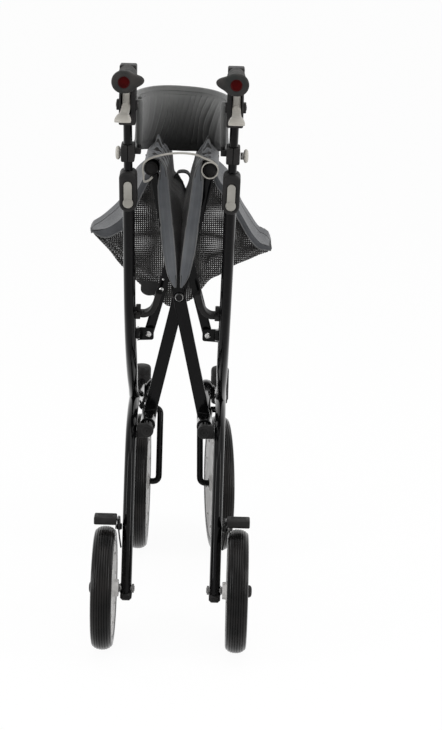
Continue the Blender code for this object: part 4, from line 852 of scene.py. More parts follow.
# Side links
# A flat black steel link joins each tube's bracket to the arm that carries that side's rail, so that
# the tubes stay upright while the brace opens. Bright screws sit at its upper end and, on the left
# one, lower down.
LINK_Y, LINK_REACH = 0.1735, 0.0688
for side, tag in SIDES:
    low = Vector((side * LINK_PIVOT_X, LINK_PIVOT_Z))
    high = arm_point(-side, LINK_REACH)
    run = (high - low).normalized()
    tilt = math.degrees(math.atan2(run.y, run.x))
    outline = arc(high.x, high.y, 0.0082, tilt - 90, tilt + 90, 14)
    outline += arc(low.x, low.y, 0.0082, tilt + 90, tilt + 270, 14)
    bm = bmesh.new()
    sketch(bm, [outline, arc(low.x, low.y, 0.0043, 0, 337.5, 15)], 0.006, 0.0009, standing(LINK_Y))
    stud_end = CROSS_Y - ARM_THICK - ARM_GAP / 2 - 0.0005 if side < 0 else CROSS_Y + ARM_GAP / 2 - 0.0005
    rod(bm, spot(high.x, LINK_Y, high.y), spot(high.x, stud_end, high.y), 0.004)
    make(f"link_bar_{tag}", bm, PAINT, f"link_{tag}", [f"side_link_{tag}"])
    bm = bmesh.new()
    pan_head(bm, spot(high.x, LINK_Y - 0.003, high.y), (0, -1, 0), 0.0045, 0.0024)
    for x, z, radius, height in ((-0.0298, 0.5682, 0.0038, 0.0022), (-0.0269, 0.5855, 0.0018, 0.001)):
        if side < 0:
            pan_head(bm, spot(x, LINK_Y - 0.003, z), (0, -1, 0), radius, height)
    make(f"link_top_screw_{tag}", bm, ZINC, f"link_{tag}")


# Handle tubes and brake housings
# Each handle is a smaller oval tube that slides in the long tube. A cast black housing caps it: a head
# for the grip, two cheeks that hold the lever's pin, and a socket for the tube.
BORE_HALF_WIDTH, BORE_HALF_DEPTH = 0.0073, 0.0113
for side, tag in SIDES:
    bm = bmesh.new()
    oval_bar(bm, side, 0.64, 0.874, 0.007, 0.011, 44)
    make(f"inner_tube_{tag}", bm, PAINT, f"handle_{tag}", [f"handle_tube_{tag}"])
    outline = arc(0.0342, 0.9508, 0.0037, 178, 90, 5) + arc(0.063, 0.9475, 0.007, 90, 0, 8)
    outline += mm(2, 70, 916, 68.8, 909, 64, 894, 61.2, 876, 60, 864, 59, 862, 27.2, 862, 26, 864, 26, 906,
                  27.2, 910, 30.5, 914)
    bm = bmesh.new()
    sketch(bm, [outline], 0.026, 0.0024, sideways(side * 0.084), 3)
    bm = cut(bm, block, spot(side * 0.0846, 0.036, 0.893), (0.0328, 0.015, 0.016), 0.0012, 2, operation="UNION")
    bm = cut(bm, block, spot(side * 0.086, 0.03025, 0.8995), (0.016, 0.0405, 0.043), 0.0008, 1)
    bm = cut(bm, oval_bar, side, 0.84, 0.8745, BORE_HALF_WIDTH, BORE_HALF_DEPTH)
    make(f"housing_{tag}", bm, MATT, f"handle_{tag}", [f"brake_housing_{tag}"], angle=30)
    bm = bmesh.new()
    for reach, face in ((0.0682, -side), (0.101, side)):
        pan_head(bm, spot(side * reach, 0.036, 0.893), (face, 0, 0), 0.0042, 0.001)
    make(f"lever_pin_{tag}", bm, NICKEL, f"handle_{tag}")


# Grips
# The soft rubber grip is slim in front and flares at the rear, with a palm wing toward the middle. A
# small red disc is let into its rear end, and a fine parting line runs along its top.
GRIP_X, GRIP_Z = 0.084, 0.9416
GRIP_STATIONS = mm(4, 30, 11.8, 0, 0, 29.6, 13, 0, 0, 28.5, 13.5, 0, 0, 22, 14.3, 0, 0, -5, 14, 0, 0.5,
                   -35, 14, 0.5, 2.5, -60, 14, 2.8, 6.5, -76, 14.2, 4.8, 8.5, -81.2, 14.1, 4.7, 8,
                   -83.8, 13.6, 4.3, 7, -85, 12.4, 4, 5.8)
# Soft grey-black rubber: matt with a brownish handled top and a fine moulded grain.
GRIP_RUBBER = finish("grip_rubber", (0.022, 0.022, 0.021), 0.65,
                     (30, 4, (0.017, 0.018, 0.0175), (0.036, 0.032, 0.03), 0.4, 0.7), (80, 3, 0.58, 0.78),
                     (2000, 2, 0.3, 0.0003), specular=0.18)
RED = finish("red_plastic", (0.034, 0.0004, 0.0004), 0.32,
             (90, 3, (0.028, 0.0003, 0.0003), (0.042, 0.0006, 0.0006)), specular=0.05)


def grip_ring(side, y, radius, flare, wing, steps=64):
    """One section of the grip, with its flare, its palm wing and the parting line on top."""
    ring = []
    for k in range(steps):
        a = 2 * math.pi * k / steps
        away = radius + flare * (0.55 + 0.45 * abs(math.cos(a)))
        away += 1.35 * wing * max(0.0, math.cos(a - math.radians(6))) ** 13
        away -= 0.0006 * math.exp(-((a - math.pi / 2) / 0.06) ** 2) * (0 if y > 0.02 or y < -0.05 else 1)
        ring.append(spot(side * (GRIP_X - away * math.cos(a)), y, GRIP_Z + away * math.sin(a)))
    return ring


for side, tag in SIDES:
    stations = smooth_path([(y, radius, flare) for y, radius, flare, _ in GRIP_STATIONS], 6)
    wings = smooth_path([(y, wing, 0) for y, _, _, wing in GRIP_STATIONS], 6)
    rows = [grip_ring(side, s.x, s.y, s.z, w.y) for s, w in zip(stations, wings)]
    for share, y in ((0.8, -0.0852), (0.62, -0.085), (0.585, -0.0842)):
        rows.append([Vector((side * GRIP_X + (p.x - side * GRIP_X) * share * 0.92, y + AXLE_Y,
                             GRIP_Z + (p.z - GRIP_Z) * share)) for p in grip_ring(side, 0.025, 0.0146, 0, 0)])
    bm = bmesh.new()
    grid_faces(bm, rows, around=True, capped=True)
    make(f"rubber_grip_{tag}", bm, GRIP_RUBBER, f"handle_{tag}", [f"grip_{tag}"], angle=50)
    bm = bmesh.new()
    lathe(bm, mm(2, 0, 3, 8.6, 3, 8.8, 0.6, 8.3, 0.1, 7.6, 0.4, 7.2, 1, 4, 0.6, 0, 0.4),
          spot(side * GRIP_X, -0.086, GRIP_Z), (0, 1, 0), 40)
    make(f"grip_disc_{tag}", bm, RED, f"handle_{tag}")


# Brake levers
# A warm grey moulded lever hangs from the pin under each grip. It is waisted under the fingers and
# flares to a rolled lip.
WARM_GREY = warm_grey_plastic("warm_grey_plastic", (0.365, 0.348, 0.312), (0.445, 0.428, 0.39))
LEVER_STATIONS = mm(4, 35, 915, 12.5, 5.5, 36, 903, 13, 8.5, 34, 893, 13.5, 10.5, 20, 888, 13.5, 7,
                    -10, 886.8, 14, 5.5, -35, 887.2, 15, 5.2, -50, 886.6, 20, 5, -61, 882.8, 25, 4.6,
                    -66, 880, 25, 3.6)
for side, tag in SIDES:
    line = smooth_path([(0, y, z) for y, z, _, _ in LEVER_STATIONS], 5)
    sizes = smooth_path([(width, thick, 0) for _, _, width, thick in LEVER_STATIONS], 5)
    rows = []
    for k, (point, size) in enumerate(zip(line, sizes)):
        up = Vector((1, 0, 0)).cross(heading(line, k)) * size.y / 2
        across = Vector((size.x / 2, 0, 0))
        rows.append([spot(side * 0.086, point.y, point.z) + across * math.copysign(abs(c) ** 0.5, c)
                     + up * math.copysign(abs(s) ** 0.5, s) for c, s in turns(28)])
    bm = bmesh.new()
    grid_faces(bm, rows, around=True, capped=True)
    make(f"lever_{tag}", bm, WARM_GREY, f"lever_{tag}", [f"brake_lever_{tag}"], angle=50)


# Backrest clamps and thumb screws
# A split block clamps each handle tube and carries the upright rod for the backrest band. The thumb
# screw on its outer side has a dark plated stem and a pale moulded head.
CLAMP_Z, ROD_X = 0.817, 0.0665
SCREW_DRIVEN = {-1: 0.004, 1: 0.0006}
for side, tag in SIDES:
    bm = bmesh.new()
    block(bm, (0, 0, 0), (0.0215, 0.034, 0.026), 0.0026, 4)
    bm.transform(handle_frame(side, CLAMP_Z))
    bm = cut(bm, oval_bar, side, 0.79, 0.84, BORE_HALF_WIDTH, BORE_HALF_DEPTH)
    bm = cut(bm, block, (0, -0.015, 0), (0.0014, 0.01, 0.03), 0.0002, 1, moved=handle_frame(side, CLAMP_Z))
    block(bm, spot(side * 0.0685, 0.066, 0.8168), (0.011, 0.0155, 0.0095), 0.0012)
    rod(bm, spot(side * ROD_X, 0.07, 0.818), spot(side * ROD_X, 0.07, 0.8955), 0.0035, 0.0008, 20)
    make(f"clamp_block_{tag}", bm, MATT, f"clamp_{tag}", [f"backrest_clamp_{tag}"], angle=30)
    centre = handle_point(side, 0.815) + Vector((SCREW_DRIVEN[side], 0, 0))
    bm = bmesh.new()
    rod(bm, centre + Vector((side * 0.0111, 0, 0)), centre + Vector((side * 0.0175, 0, 0)), 0.0058, 0.0006, 28)
    make(f"screw_stem_{tag}", bm, NICKEL, f"screw_{tag}")
    bm = bmesh.new()
    lathe(bm, mm(2, 0, 16.2, 7.4, 16.2, 8.8, 16.6, 9.8, 17.4, 10.3, 18.4, 10.5, 19.6, 10.3, 21, 9.5, 22.4,
                 7.5, 23.2, 5, 23.6, 0, 23.6), centre, (side, 0, 0), 40)
    for c, s in turns(10):
        start = centre + Vector((side * 0.0178, 0.0096 * c, 0.0096 * s))
        rod(bm, start, start + Vector((side * 0.0036, 0, 0)), 0.0013, 0.0005, 10)
    make(f"screw_head_{tag}", bm, WARM_GREY, f"screw_{tag}", [f"thumb_screw_{tag}"])


# Seat
# The seat is one padded fabric cushion creased along its middle, so that each half hangs from its rail
# when the frame is shut. The boxing round each half is bluish grey polyester with a bound seam at
# both edges; where the arms pass, the soft foam is pressed in.
def threads(nodes, links, operation, pitch, distortion, detail):
    """Waves both ways along the cloth's own layout, joined into one pattern."""
    place = nodes.new("ShaderNodeUVMap")
    place.uv_map = "cloth"
    ways = []
    for direction in ("X", "Y"):
        wave = nodes.new("ShaderNodeTexWave")
        wave.bands_direction = direction
        wave.inputs["Scale"].default_value = 0.314 / pitch
        wave.inputs["Distortion"].default_value = distortion
        wave.inputs["Detail"].default_value = detail
        links.new(place.outputs["UV"], wave.inputs["Vector"])
        ways.append(wave.outputs["Fac"])
    return combined(nodes, links, operation, *ways)


def woven(name, colour, other, sheen=0.3, pitch=0.0011):
    """Coated polyester: a plain weave at thread scale, cloudy dye and a little dust."""
    material = finish(name, colour, 0.78, dull=(70, 3, 0.68, 0.86), sheen=sheen, specular=0.3)
    nodes, links = material.node_tree.nodes, material.node_tree.links
    weave = threads(nodes, links, "MULTIPLY", pitch, 0.6, 1.0)
    mix = nodes.new("ShaderNodeMix")
    mix.data_type, mix.blend_type = "RGBA", "MULTIPLY"
    mix.inputs["Factor"].default_value = 0.55
    links.new(two_tones(nodes, links, noise(nodes, links, 26.0, 5.0), colour, other, 0.3, 0.7), mix.inputs[6])
    links.new(two_tones(nodes, links, weave, (0.62, 0.62, 0.62), (1.0, 1.0, 1.0), 0.0, 0.5), mix.inputs[7])
    links.new(mix.outputs[2], nodes["Principled BSDF"].inputs["Base Color"])
    relief(nodes, links, weave, 0.35, 0.0004)
    return material


def between(pairs, at):
    """Straight-line reading of a short list of pairs."""
    for (a, low), (b, high) in zip(pairs, pairs[1:]):
        if at <= b:
            return low + (high - low) * max(0.0, (at - a) / (b - a))
    return pairs[-1][1]


SEAT_REAR, SEAT_FRONT, SEAT_TOP, SEAT_LOW = 0.085, 0.34, 0.7985, 0.5915
SEAT_INNER = mm(2, 590, 0.8, 604, 2.6, 621, 3.6, 637, 4.8, 654, 6.6, 687, 10, 719.5, 14.4, 752, 18.1, 768, 19.8,
                787, 24.8, 798.5, 31.8)
SEAT_OUTER = mm(2, 590, 7, 596, 11, 605, 15.5, 620, 19.5, 635, 22.8, 650, 26, 670, 28.5, 690, 30.4, 710, 32.2,
                740, 35.2, 758, 36.2, 768, 35, 777, 33, 787, 32.2, 798.5, 34.4)
SEAT_CROWN = {-1: mm(2, 600, 0, 640, -1.6, 660, -2.8, 715, -4.4, 732, 0, 742, 9, 748, 16, 760, 17.8, 776, 19.6,
                     798.5, 31.8),
              1: mm(2, 600, 0.2, 640, 1, 660, 2, 715, 3.6, 728, 8.6, 740, 11.2, 750, 13.6, 760, 15.8, 776, 19.6,
                    798.5, 31.8)}


def arm_edge(z):
    """How far from the middle the inner edge of an arm's upper half is, at a height."""
    along = (z - CROSS_Z) / math.sin(FOLDED)
    return along * math.cos(FOLDED) - between(ARM_WIDTHS, along) / 2 / math.sin(FOLDED)


def eased(t):
    """Rises smoothly from 0 to 1 as t does."""
    t = min(1.0, max(0.0, t))
    return t * t * (3 - 2 * t)


def seat_section(side, y, share):
    """Inner and outer distance from the middle, and the height, a share of the way down the half."""
    squeeze = eased((y - 0.146) / 0.018) * (1 - eased((y - 0.206) / 0.03))
    low = SEAT_LOW + 0.0485 * squeeze
    z = SEAT_TOP - (SEAT_TOP - low) * share
    inner, outer = between(SEAT_INNER, z), between(SEAT_OUTER, z)
    swell = eased((y - 0.09) / 0.03) * (1 - eased((y - 0.29) / 0.045))
    inner += (min(inner, between(SEAT_CROWN[side], z)) - inner) * swell
    outer += (min(outer, arm_edge(z) - 0.0018) - outer) * squeeze
    half = (outer - inner) / 2
    middle = (outer + inner) / 2
    round_off = min(1.0, (share / 0.06) ** 0.5 if share < 0.06 else 1.0,
                    ((1 - share) / 0.1) ** 0.5 if share > 0.9 else 1.0)
    half = max(0.001, half * (0.25 + 0.75 * round_off))
    channel = 0.001 * math.exp(-((share - 0.5) / 0.018) ** 2) * (1 - squeeze)
    return middle - half + channel, middle + half - channel, z


SEAT_CLOTH = woven("seat_fabric", (0.084, 0.089, 0.098), (0.12, 0.126, 0.134))
# Near-black cloth: partly the seat's dark face cloth, partly painted shade where the shut halves close on each
# other.
SEAT_FACE_AND_SHADE = woven("seat_face_and_shade_fabric", (0.012, 0.0115, 0.0115), (0.022, 0.021, 0.02), sheen=0.1)
PIPING = woven("seat_piping", (0.11, 0.112, 0.116), (0.15, 0.152, 0.152), pitch=0.0008)
DOWN_STEPS = 40
ROUNDED_EDGE = ((-0.0004, 0.3), (-0.0001, 0.66), (0.0008, 0.88), (0.0022, 0.97))
for side, tag in SIDES:
    rows = []
    stations = [(SEAT_REAR + inset, size) for inset, size in ROUNDED_EDGE]
    stations += [(SEAT_REAR + 0.004 * k, 1.0) for k in range(1, 63)]
    stations += [(SEAT_FRONT - inset, size) for inset, size in ROUNDED_EDGE[::-1]]
    for y, size in stations:
        down = [seat_section(side, y, k / DOWN_STEPS) for k in range(DOWN_STEPS + 1)]
        row = []
        for k, (inner, outer, z) in enumerate(down):
            middle = (inner + outer) / 2
            crease = 0.0007 * math.sin(y * 150 + z * 60) * math.sin(z * 85 + y * 24)
            crease *= min(1.0, 9 * k / DOWN_STEPS)
            row.append(spot(side * (middle + (inner - middle) * size - crease), y, z))
        for inner, outer, z in down[::-1]:
            middle = (inner + outer) / 2
            crease = 0.0007 * math.sin(y * 120 - z * 50) * math.sin(z * 95 - y * 30)
            row.append(spot(side * (middle + (outer - middle) * size + crease), y, z))
        rows.append(row)
    bm = bmesh.new()
    grid_faces(bm, rows, around=True, capped=True, uv_size=(0.255, 0.38))
    bmesh.ops.recalc_face_normals(bm, faces=bm.faces[:])
    # The broad side faces take the near-black cloth, which is partly painted shade.
    for face in bm.faces:
        face.material_index = 1 if abs(face.normal.x) > 0.5 else 0
    cushion = make(f"seat_cushion_{tag}", bm, (SEAT_CLOTH, SEAT_FACE_AND_SHADE), f"seat_{tag}", [f"seat_half_{tag}"],
                   angle=60)
    bm = bmesh.new()
    for y in (SEAT_REAR + 0.0016, SEAT_FRONT - 0.0016):
        for face in (0, 1):
            line = []
            for k in range(DOWN_STEPS + 1):
                inner, outer, z = seat_section(side, y, k / DOWN_STEPS)
                line.append(spot(side * (outer - 0.0006 if face else inner + 0.0006), y, z))
            cord_along(bm, line, 0.0012)
    make(f"seat_binding_{tag}", bm, PIPING, f"seat_{tag}", angle=60)


# Rail wraps
# The polyester cloth of the seat runs up over each rail and is gathered round it, puckered by the
# screws that hold it from below.
def thick_cloth(bm, points, thickness, size=(1.0, 1.0), lay=None):
    """A sheet with both faces and its rim, from a grid of points; its weave lies by size or by position."""
    count_v, count_u = len(points), len(points[0])

    def square_to(i, k):
        """The way out of the sheet at a grid point."""
        down = points[min(i + 1, count_v - 1)][k] - points[max(i - 1, 0)][k]
        along = points[i][min(k + 1, count_u - 1)] - points[i][max(k - 1, 0)]
        return down.cross(along).normalized()

    layer = bm.loops.layers.uv.get("cloth") or bm.loops.layers.uv.new("cloth")
    offsets = [[square_to(i, k) * thickness / 2 for k in range(count_u)] for i in range(count_v)]
    sides = [[[bm.verts.new(points[i][k] + offsets[i][k] * face) for k in range(count_u)]
              for i in range(count_v)] for face in (1, -1)]

    def quad(corners, uvs):
        """One face, laid out by the grid points of its corners."""
        made = bm.faces.new(corners)
        for loop, (i, k) in zip(made.loops, uvs):
            evenly = (i / (count_v - 1) * size[0], k / (count_u - 1) * size[1])
            loop[layer].uv = lay(points[i][k]) if lay else evenly

    for i in range(count_v - 1):
        for k in range(count_u - 1):
            cells = ((i, k), (i, k + 1), (i + 1, k + 1), (i + 1, k))
            quad([sides[0][a][b] for a, b in cells], cells)
            quad([sides[1][a][b] for a, b in cells[::-1]], cells[::-1])
    rim = [(i, 0) for i in range(count_v)] + [(count_v - 1, k) for k in range(1, count_u)]
    rim += [(i, count_u - 1) for i in range(count_v - 2, -1, -1)] + [(0, k) for k in range(count_u - 2, 0, -1)]
    for (a, b), (c, d) in zip(rim, rim[1:] + rim[:1]):
        quad([sides[0][a][b], sides[0][c][d], sides[1][c][d], sides[1][a][b]], ((a, b), (c, d), (c, d), (a, b)))


WRAP_REAR, WRAP_RUN, WRAP_GIRTH = 0.1, 0.2475, 0.062
WRAP_STEPS, GIRTH_STEPS = 60, 28
for side, tag in SIDES:
    points = []
    for i in range(WRAP_STEPS + 1):
        y = WRAP_REAR + WRAP_RUN * i / WRAP_STEPS
        row = []
        for k in range(GIRTH_STEPS + 1):
            share = k / GIRTH_STEPS
            a = math.radians(218 - 262 * share)
            pucker = 0.0008 * math.sin(y * 190 + 3 * share) * math.sin(math.pi * share)
            dimple = max(0.0, math.sin(y * 88 + side * 0.9)) ** 4 * math.exp(-((share - 0.42) / 0.2) ** 2)
            away = RAIL_RADIUS + 0.0013 + 0.6 * max(0.0, pucker + 0.0016 * dimple)
            row.append(spot(side * (RAIL_X + away * math.cos(a)), y, RAIL_Z + away * math.sin(a)))
        points.append(row)
    bm = bmesh.new()
    thick_cloth(bm, points, 0.0011, (WRAP_RUN, WRAP_GIRTH))
    wrap = make(f"rail_wrap_{tag}", bm, SEAT_CLOTH, ARM_RIDES[-side], angle=70)


# Seat gathers
# Between each rail and its seat half the cloth is loose when the frame is shut: it stands up off the
# rail in a row of deep gathers, and its rear edge is bound.
GATHER = mm(2, 58.5, 792.5, 54, 797.8, 49, 800.4, 45.5, 801, 42.5, 801.2, 39, 800.8, 34.5, 799.6, 29, 793.5,
            24, 784, 20.7, 771, 19.6, 762)
GATHER_REAR, GATHER_RUN, GATHER_STEPS = 0.0935, 0.2515, 120


def gather_wave(side, y, share):
    """Runs through one turn from gather to gather along the rail, a little later lower down."""
    return math.sin(2 * math.pi * (y + 0.022 * share + 0.006 * side) / 0.041)


for side, tag in SIDES:
    profile = smooth_path([(x, z, 0) for x, z in GATHER], 4)
    points = []
    for i in range(GATHER_STEPS + 1):
        y = GATHER_REAR + GATHER_RUN * i / GATHER_STEPS
        fin = eased((y - 0.15) / 0.1) * (1 - 0.5 * eased((y - 0.27) / 0.06))
        row = []
        for k, place in enumerate(profile):
            share = k / (len(profile) - 1)
            out = Vector((place.x - 0.036, place.y - 0.768, 0)).normalized()
            loose = math.sin(math.pi * share) ** 1.2 * eased((y - 0.09) / 0.02)
            slot = max(0.0, gather_wave(side, y, share)) ** 1.5
            fine = math.sin(y * 300 + share * 11) + math.sin(y * 190 - share * 17)
            slack = 0.0008 * fine - 0.0085 * slot * math.exp(-((share - 0.62) / 0.17) ** 2)
            peak = 0.015 * fin * math.exp(-((place.x - 0.0415) / 0.0042) ** 2)
            place = place + out * slack * loose + Vector((0, peak, 0))
            row.append(spot(side * place.x, y, place.y))
        points.append(row)
    bm = bmesh.new()
    thick_cloth(bm, points, 0.0011, (GATHER_RUN, 0.075))
    # Painted shade: the faces in the valleys between the gathers take the near-black seat face cloth.
    bm.faces.ensure_lookup_table()
    across = len(profile) - 1
    for i in range(len(points) - 1):
        for k in range(across):
            share, y = (k + 0.5) / across, GATHER_REAR + GATHER_RUN * (i + 0.5) / GATHER_STEPS
            if 0.25 < share < 0.97 and gather_wave(side, y, share) > 0.05 + 1.1 * abs(share - 0.6):
                for face in bm.faces[2 * (i * across + k):][:2]:
                    face.material_index = 1
    gather = make(f"seat_gather_{tag}", bm, (SEAT_CLOTH, SEAT_FACE_AND_SHADE), f"seat_{tag}", angle=70)
    bm = bmesh.new()
    cord_along(bm, points[0][6:], 0.0012)
    binding = make(f"gather_binding_{tag}", bm, PIPING, f"seat_{tag}", angle=60)
    for cloth in (gather, binding):
        cloth.parent = None
        del cloth["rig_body"]
        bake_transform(cloth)


# Pull loop
# A loop of black polyester webbing is sewn to the crease of the seat, its ends side by side. It is
# pulled up to fold the frame.
WEBBING = woven("black_webbing", (0.008, 0.008, 0.0085), (0.015, 0.015, 0.015), pitch=0.0018)
LOOP = mm(2, 4, 690, 2.6, 708, -2.4, 728, -8.8, 743.5, -10.6, 750, -7.8, 754.5, -1, 756.2, 5.5, 755.6,
          10.5, 752, 12.8, 745, 12.2, 735, 9.6, 720, 7.5, 705, 6, 690)
LOOP_WIDTH = 0.026
LOOP_STEPS = 6
middle = smooth_path([(x, 0, z) for x, z in LOOP], 6)
points = []
for i, p in enumerate(middle):
    twist = 0.6 * (1 - eased(i / len(middle) / 0.45))
    reach = [LOOP_WIDTH * (k / LOOP_STEPS - 0.5) for k in range(LOOP_STEPS + 1)]
    points.append([spot(p.x + r * twist, 0.245 + r, p.z) for r in reach])
bm = bmesh.new()
thick_cloth(bm, points, 0.0022, (0.176, LOOP_WIDTH))
loop = make("pull_loop", bm, WEBBING, "seat_left", ["pull_strap"], angle=60)


# Shopping bag
# The bag hangs from the rails under the seat. Its front and rear are open black mesh, its upper sides
# grey polyester cloth with a bound and stitched edge. When the frame is shut it bulges out to both
# sides, the cloth sags between rail and corner, and a tab hangs from its lower left corner.
def open_mesh(name, closed, clear):
    """Square-hole polyester netting: the threads are solid and the holes are clear."""
    material = finish(name, (0.022, 0.021, 0.021), 0.8, (40, 4, (0.01, 0.0095, 0.0095), (0.032, 0.031, 0.03)),
                      sheen=0.15, specular=0.25)
    nodes, links = material.node_tree.nodes, material.node_tree.links
    hole = threads(nodes, links, "MINIMUM", 0.0034, 0.0, 2.0)
    links.new(spread(nodes, links, hole, 1.0, 0.05, closed, clear), nodes["Principled BSDF"].inputs["Alpha"])
    relief(nodes, links, hole, 0.6, 0.0006)
    return material


def evened(points, count):
    """The same line in equal steps."""
    gaps = [0.0]
    for one, other in zip(points, points[1:]):
        gaps.append(gaps[-1] + (other - one).length)
    even, k = [], 0
    for j in range(count):
        at = gaps[-1] * j / (count - 1)
        while k < len(points) - 2 and gaps[k + 1] < at:
            k += 1
        even.append(points[k].lerp(points[k + 1], min(1.0, (at - gaps[k]) / (gaps[k + 1] - gaps[k]))))
    return even


EDGE_STEPS, PANEL_STEPS, SIDE_STEPS, HEM_STEPS = 24, 16, 14, 5


def drawn(pairs, count=EDGE_STEPS + 1, mirrored=1):
    """A smooth line through pairs of X and Z, in equal steps."""
    return evened(smooth_path([(mirrored * x, z, 0) for x, z in pairs], 6), count)


BAG_REAR, BAG_FRONT = 0.2125, 0.352
BAG_NOTCH = mm(2, 40, 768, 36, 750, 30, 720, 25.5, 700, 21.5, 680, 17.5, 660, 14.5, 640, 11.2, 620, 8, 600,
               4, 578)
BAG_EDGES = {
    -1: {"rear": mm(2, -48.9, 770.3, -58.7, 758.3, -74.8, 725.8, -87.8, 696.7, -100.9, 677.6, -114.2, 667,
                    -125.9, 660.7, -135.9, 657.5, -143.4, 656.5, -150.2, 657.4),
         "front": mm(2, -50, 764, -60, 760, -69.7, 754.5, -83.4, 740, -96.8, 711.3, -108.7, 688, -127.7, 668,
                     -145, 653.3, -153.8, 648.5, -158.9, 642.2, -161.5, 633.5),
         "hem": mm(2, -47, 758.6, -51.9, 750.1, -69.6, 714.1, -82.5, 681.5, -94, 662.4, -102.3, 657.1,
                   -114, 650, -124, 646.2, -134.1, 647.6, -140.9, 650.9, -150, 656.2),
         "low": mm(2, -150.2, 655.7, -135.7, 640.7, -118.7, 623.2, -106.7, 607.2, -93, 592.1, -81, 580.3,
                   -70.7, 570.2, -58.7, 560, -46.7, 550, -36.3, 543.4, -27.7, 536.7, -17.4, 529.1,
                   -7.3, 533.8)},
    1: {"rear": mm(2, 49.4, 768.3, 56.4, 757.5, 63.4, 745.2, 75.5, 730, 86, 713.4, 96.5, 696.7, 103.5, 685,
                   112.4, 670, 121.2, 656.5, 131.7, 645, 140.3, 640, 148.7, 638.5, 153.4, 635.2),
        "front": mm(2, 50, 764, 58.8, 759, 69.5, 750, 78.4, 740, 89.5, 718.3, 98.9, 695.6, 104.5, 685.2,
                    117.3, 666.8, 126.5, 652.8, 133.8, 644.3, 139.2, 641.2, 146.2, 640.1, 151.7, 633.2,
                    155, 622.6),
        "hem": mm(2, 47.9, 761.3, 53.1, 751, 58.5, 737, 70.6, 722.8, 81.1, 706.2, 91.6, 690, 98.7, 678.3,
                  107.5, 663.2, 116.3, 649.8, 126.9, 637.9, 135.4, 633, 147.2, 632.4, 152.3, 631.7),
        "low": mm(2, 153.2, 630.9, 134, 624.3, 117.4, 616.1, 100.8, 608.8, 90.8, 604.2, 80.9, 597, 70.9, 589.8,
                  64.3, 585.3, 54.2, 581.3, 46, 573.5, 39.5, 564.7, 26.3, 548.6, 18, 541.5, 7.9, 537.7,
                  2.2, 535.7)}}
NETTING = open_mesh("bag_mesh", 0.52, 0.64)
SLACK_NETTING = open_mesh("bag_mesh_stretched", 0.22, 0.38)
HEM_CLOTH = woven("hem_fabric", (0.056, 0.059, 0.065), (0.082, 0.085, 0.092))
for side, tag in SIDES:
    edges = {name: drawn(pairs) for name, pairs in BAG_EDGES[side].items()}
    rear = edges["rear"] + edges["low"][1:]
    drop = edges["front"][-1] - edges["low"][0]
    front = edges["front"][:]
    for k, p in list(enumerate(edges["low"]))[1:]:
        share = k / EDGE_STEPS
        front.append(p + drop * (1 - share) ** 2 + Vector((-0.03 * p.x, 0.005, 0)) * share)
    inner = drawn(BAG_NOTCH, len(rear), side)
    net, cloth = bmesh.new(), bmesh.new()
    for outline, y, bulge in ((rear, BAG_REAR, 0.004), (front, BAG_FRONT, 0.01)):
        grid = []
        for k, (outer, near) in enumerate(zip(outline, inner)):
            row = []
            for j in range(PANEL_STEPS + 1):
                share = j / PANEL_STEPS
                p = near.lerp(outer, share)
                swell = (bulge + 0.0022 * math.sin(k * 0.55 + 2.6 * share)) * math.sin(math.pi * share)
                row.append(spot(p.x, y + swell, p.y))
            grid.append(row)
        thick_cloth(net, grid, 0.0008, lay=lambda p: (p.x, p.z))
        if y == BAG_REAR:
            rear_faces = len(net.faces)
    depth = BAG_FRONT - BAG_REAR
    for lane, first in ((cloth, 0), (net, EDGE_STEPS)):
        grid = []
        for k in range(first, first + EDGE_STEPS + 1):
            row = []
            for j in range(SIDE_STEPS + 1):
                share = j / SIDE_STEPS
                p = rear[k].lerp(front[k], share)
                crumple = 0.001 * math.sin(k * 0.9 + share * 5) - (0.006 if lane is cloth else 0.0)
                row.append(spot(p.x, BAG_REAR + depth * share, p.y + crumple * math.sin(math.pi * share)))
            grid.append(row)
        if lane is cloth:
            thick_cloth(lane, grid, 0.001, (0.19, depth))
            seam = [row[11] + Vector((0, 0, 0.0007)) for row in grid[9:]]
        else:
            thick_cloth(lane, grid, 0.001, lay=lambda p: (p.x, p.y))
    hem = []
    for upper, lower in zip(edges["rear"], edges["hem"]):
        row = []
        for j in range(HEM_STEPS + 1):
            share = j / HEM_STEPS
            p = upper.lerp(lower, share)
            row.append(spot(p.x, BAG_REAR - 0.0018 - 0.0006 * math.sin(math.pi * share), p.y))
        hem.append(row)
    thick_cloth(cloth, hem, 0.0012, (0.19, 0.016))
    net.faces.ensure_lookup_table()
    for face in net.faces[rear_faces:]:
        face.material_index = 1
    netting = make(f"bag_net_{tag}", net, (NETTING, SLACK_NETTING), ARM_RIDES[-side], [f"bag_{tag}"], angle=70)
    hemming = make(f"bag_hem_{tag}", cloth, HEM_CLOTH, ARM_RIDES[-side], angle=70)
    bm = bmesh.new()
    cord_along(bm, [row[-1] for row in hem], 0.0013)
    make(f"bag_edging_{tag}", bm, PIPING, ARM_RIDES[-side], angle=60)
    bm = bmesh.new()
    cord_along(bm, seam, 0.0007, 6)
    make(f"bag_seam_{tag}", bm, WEBBING, ARM_RIDES[-side], angle=60)
TAB = mm(2, -72.2, 574, -66, 569, -65.5, 557.3, -60.1, 551, -51.6, 548.5, -41.4, 550.5, -33.1, 556.5,
         -36.8, 573.7)
bm = bmesh.new()
sketch(bm, [[(p.x, p.y) for p in smooth_path([(x, z, 0) for x, z in TAB], 5)]], 0.002, 0.0006, standing(0.2085))
make("bag_tab", bm, WEBBING, ARM_RIDES[1])
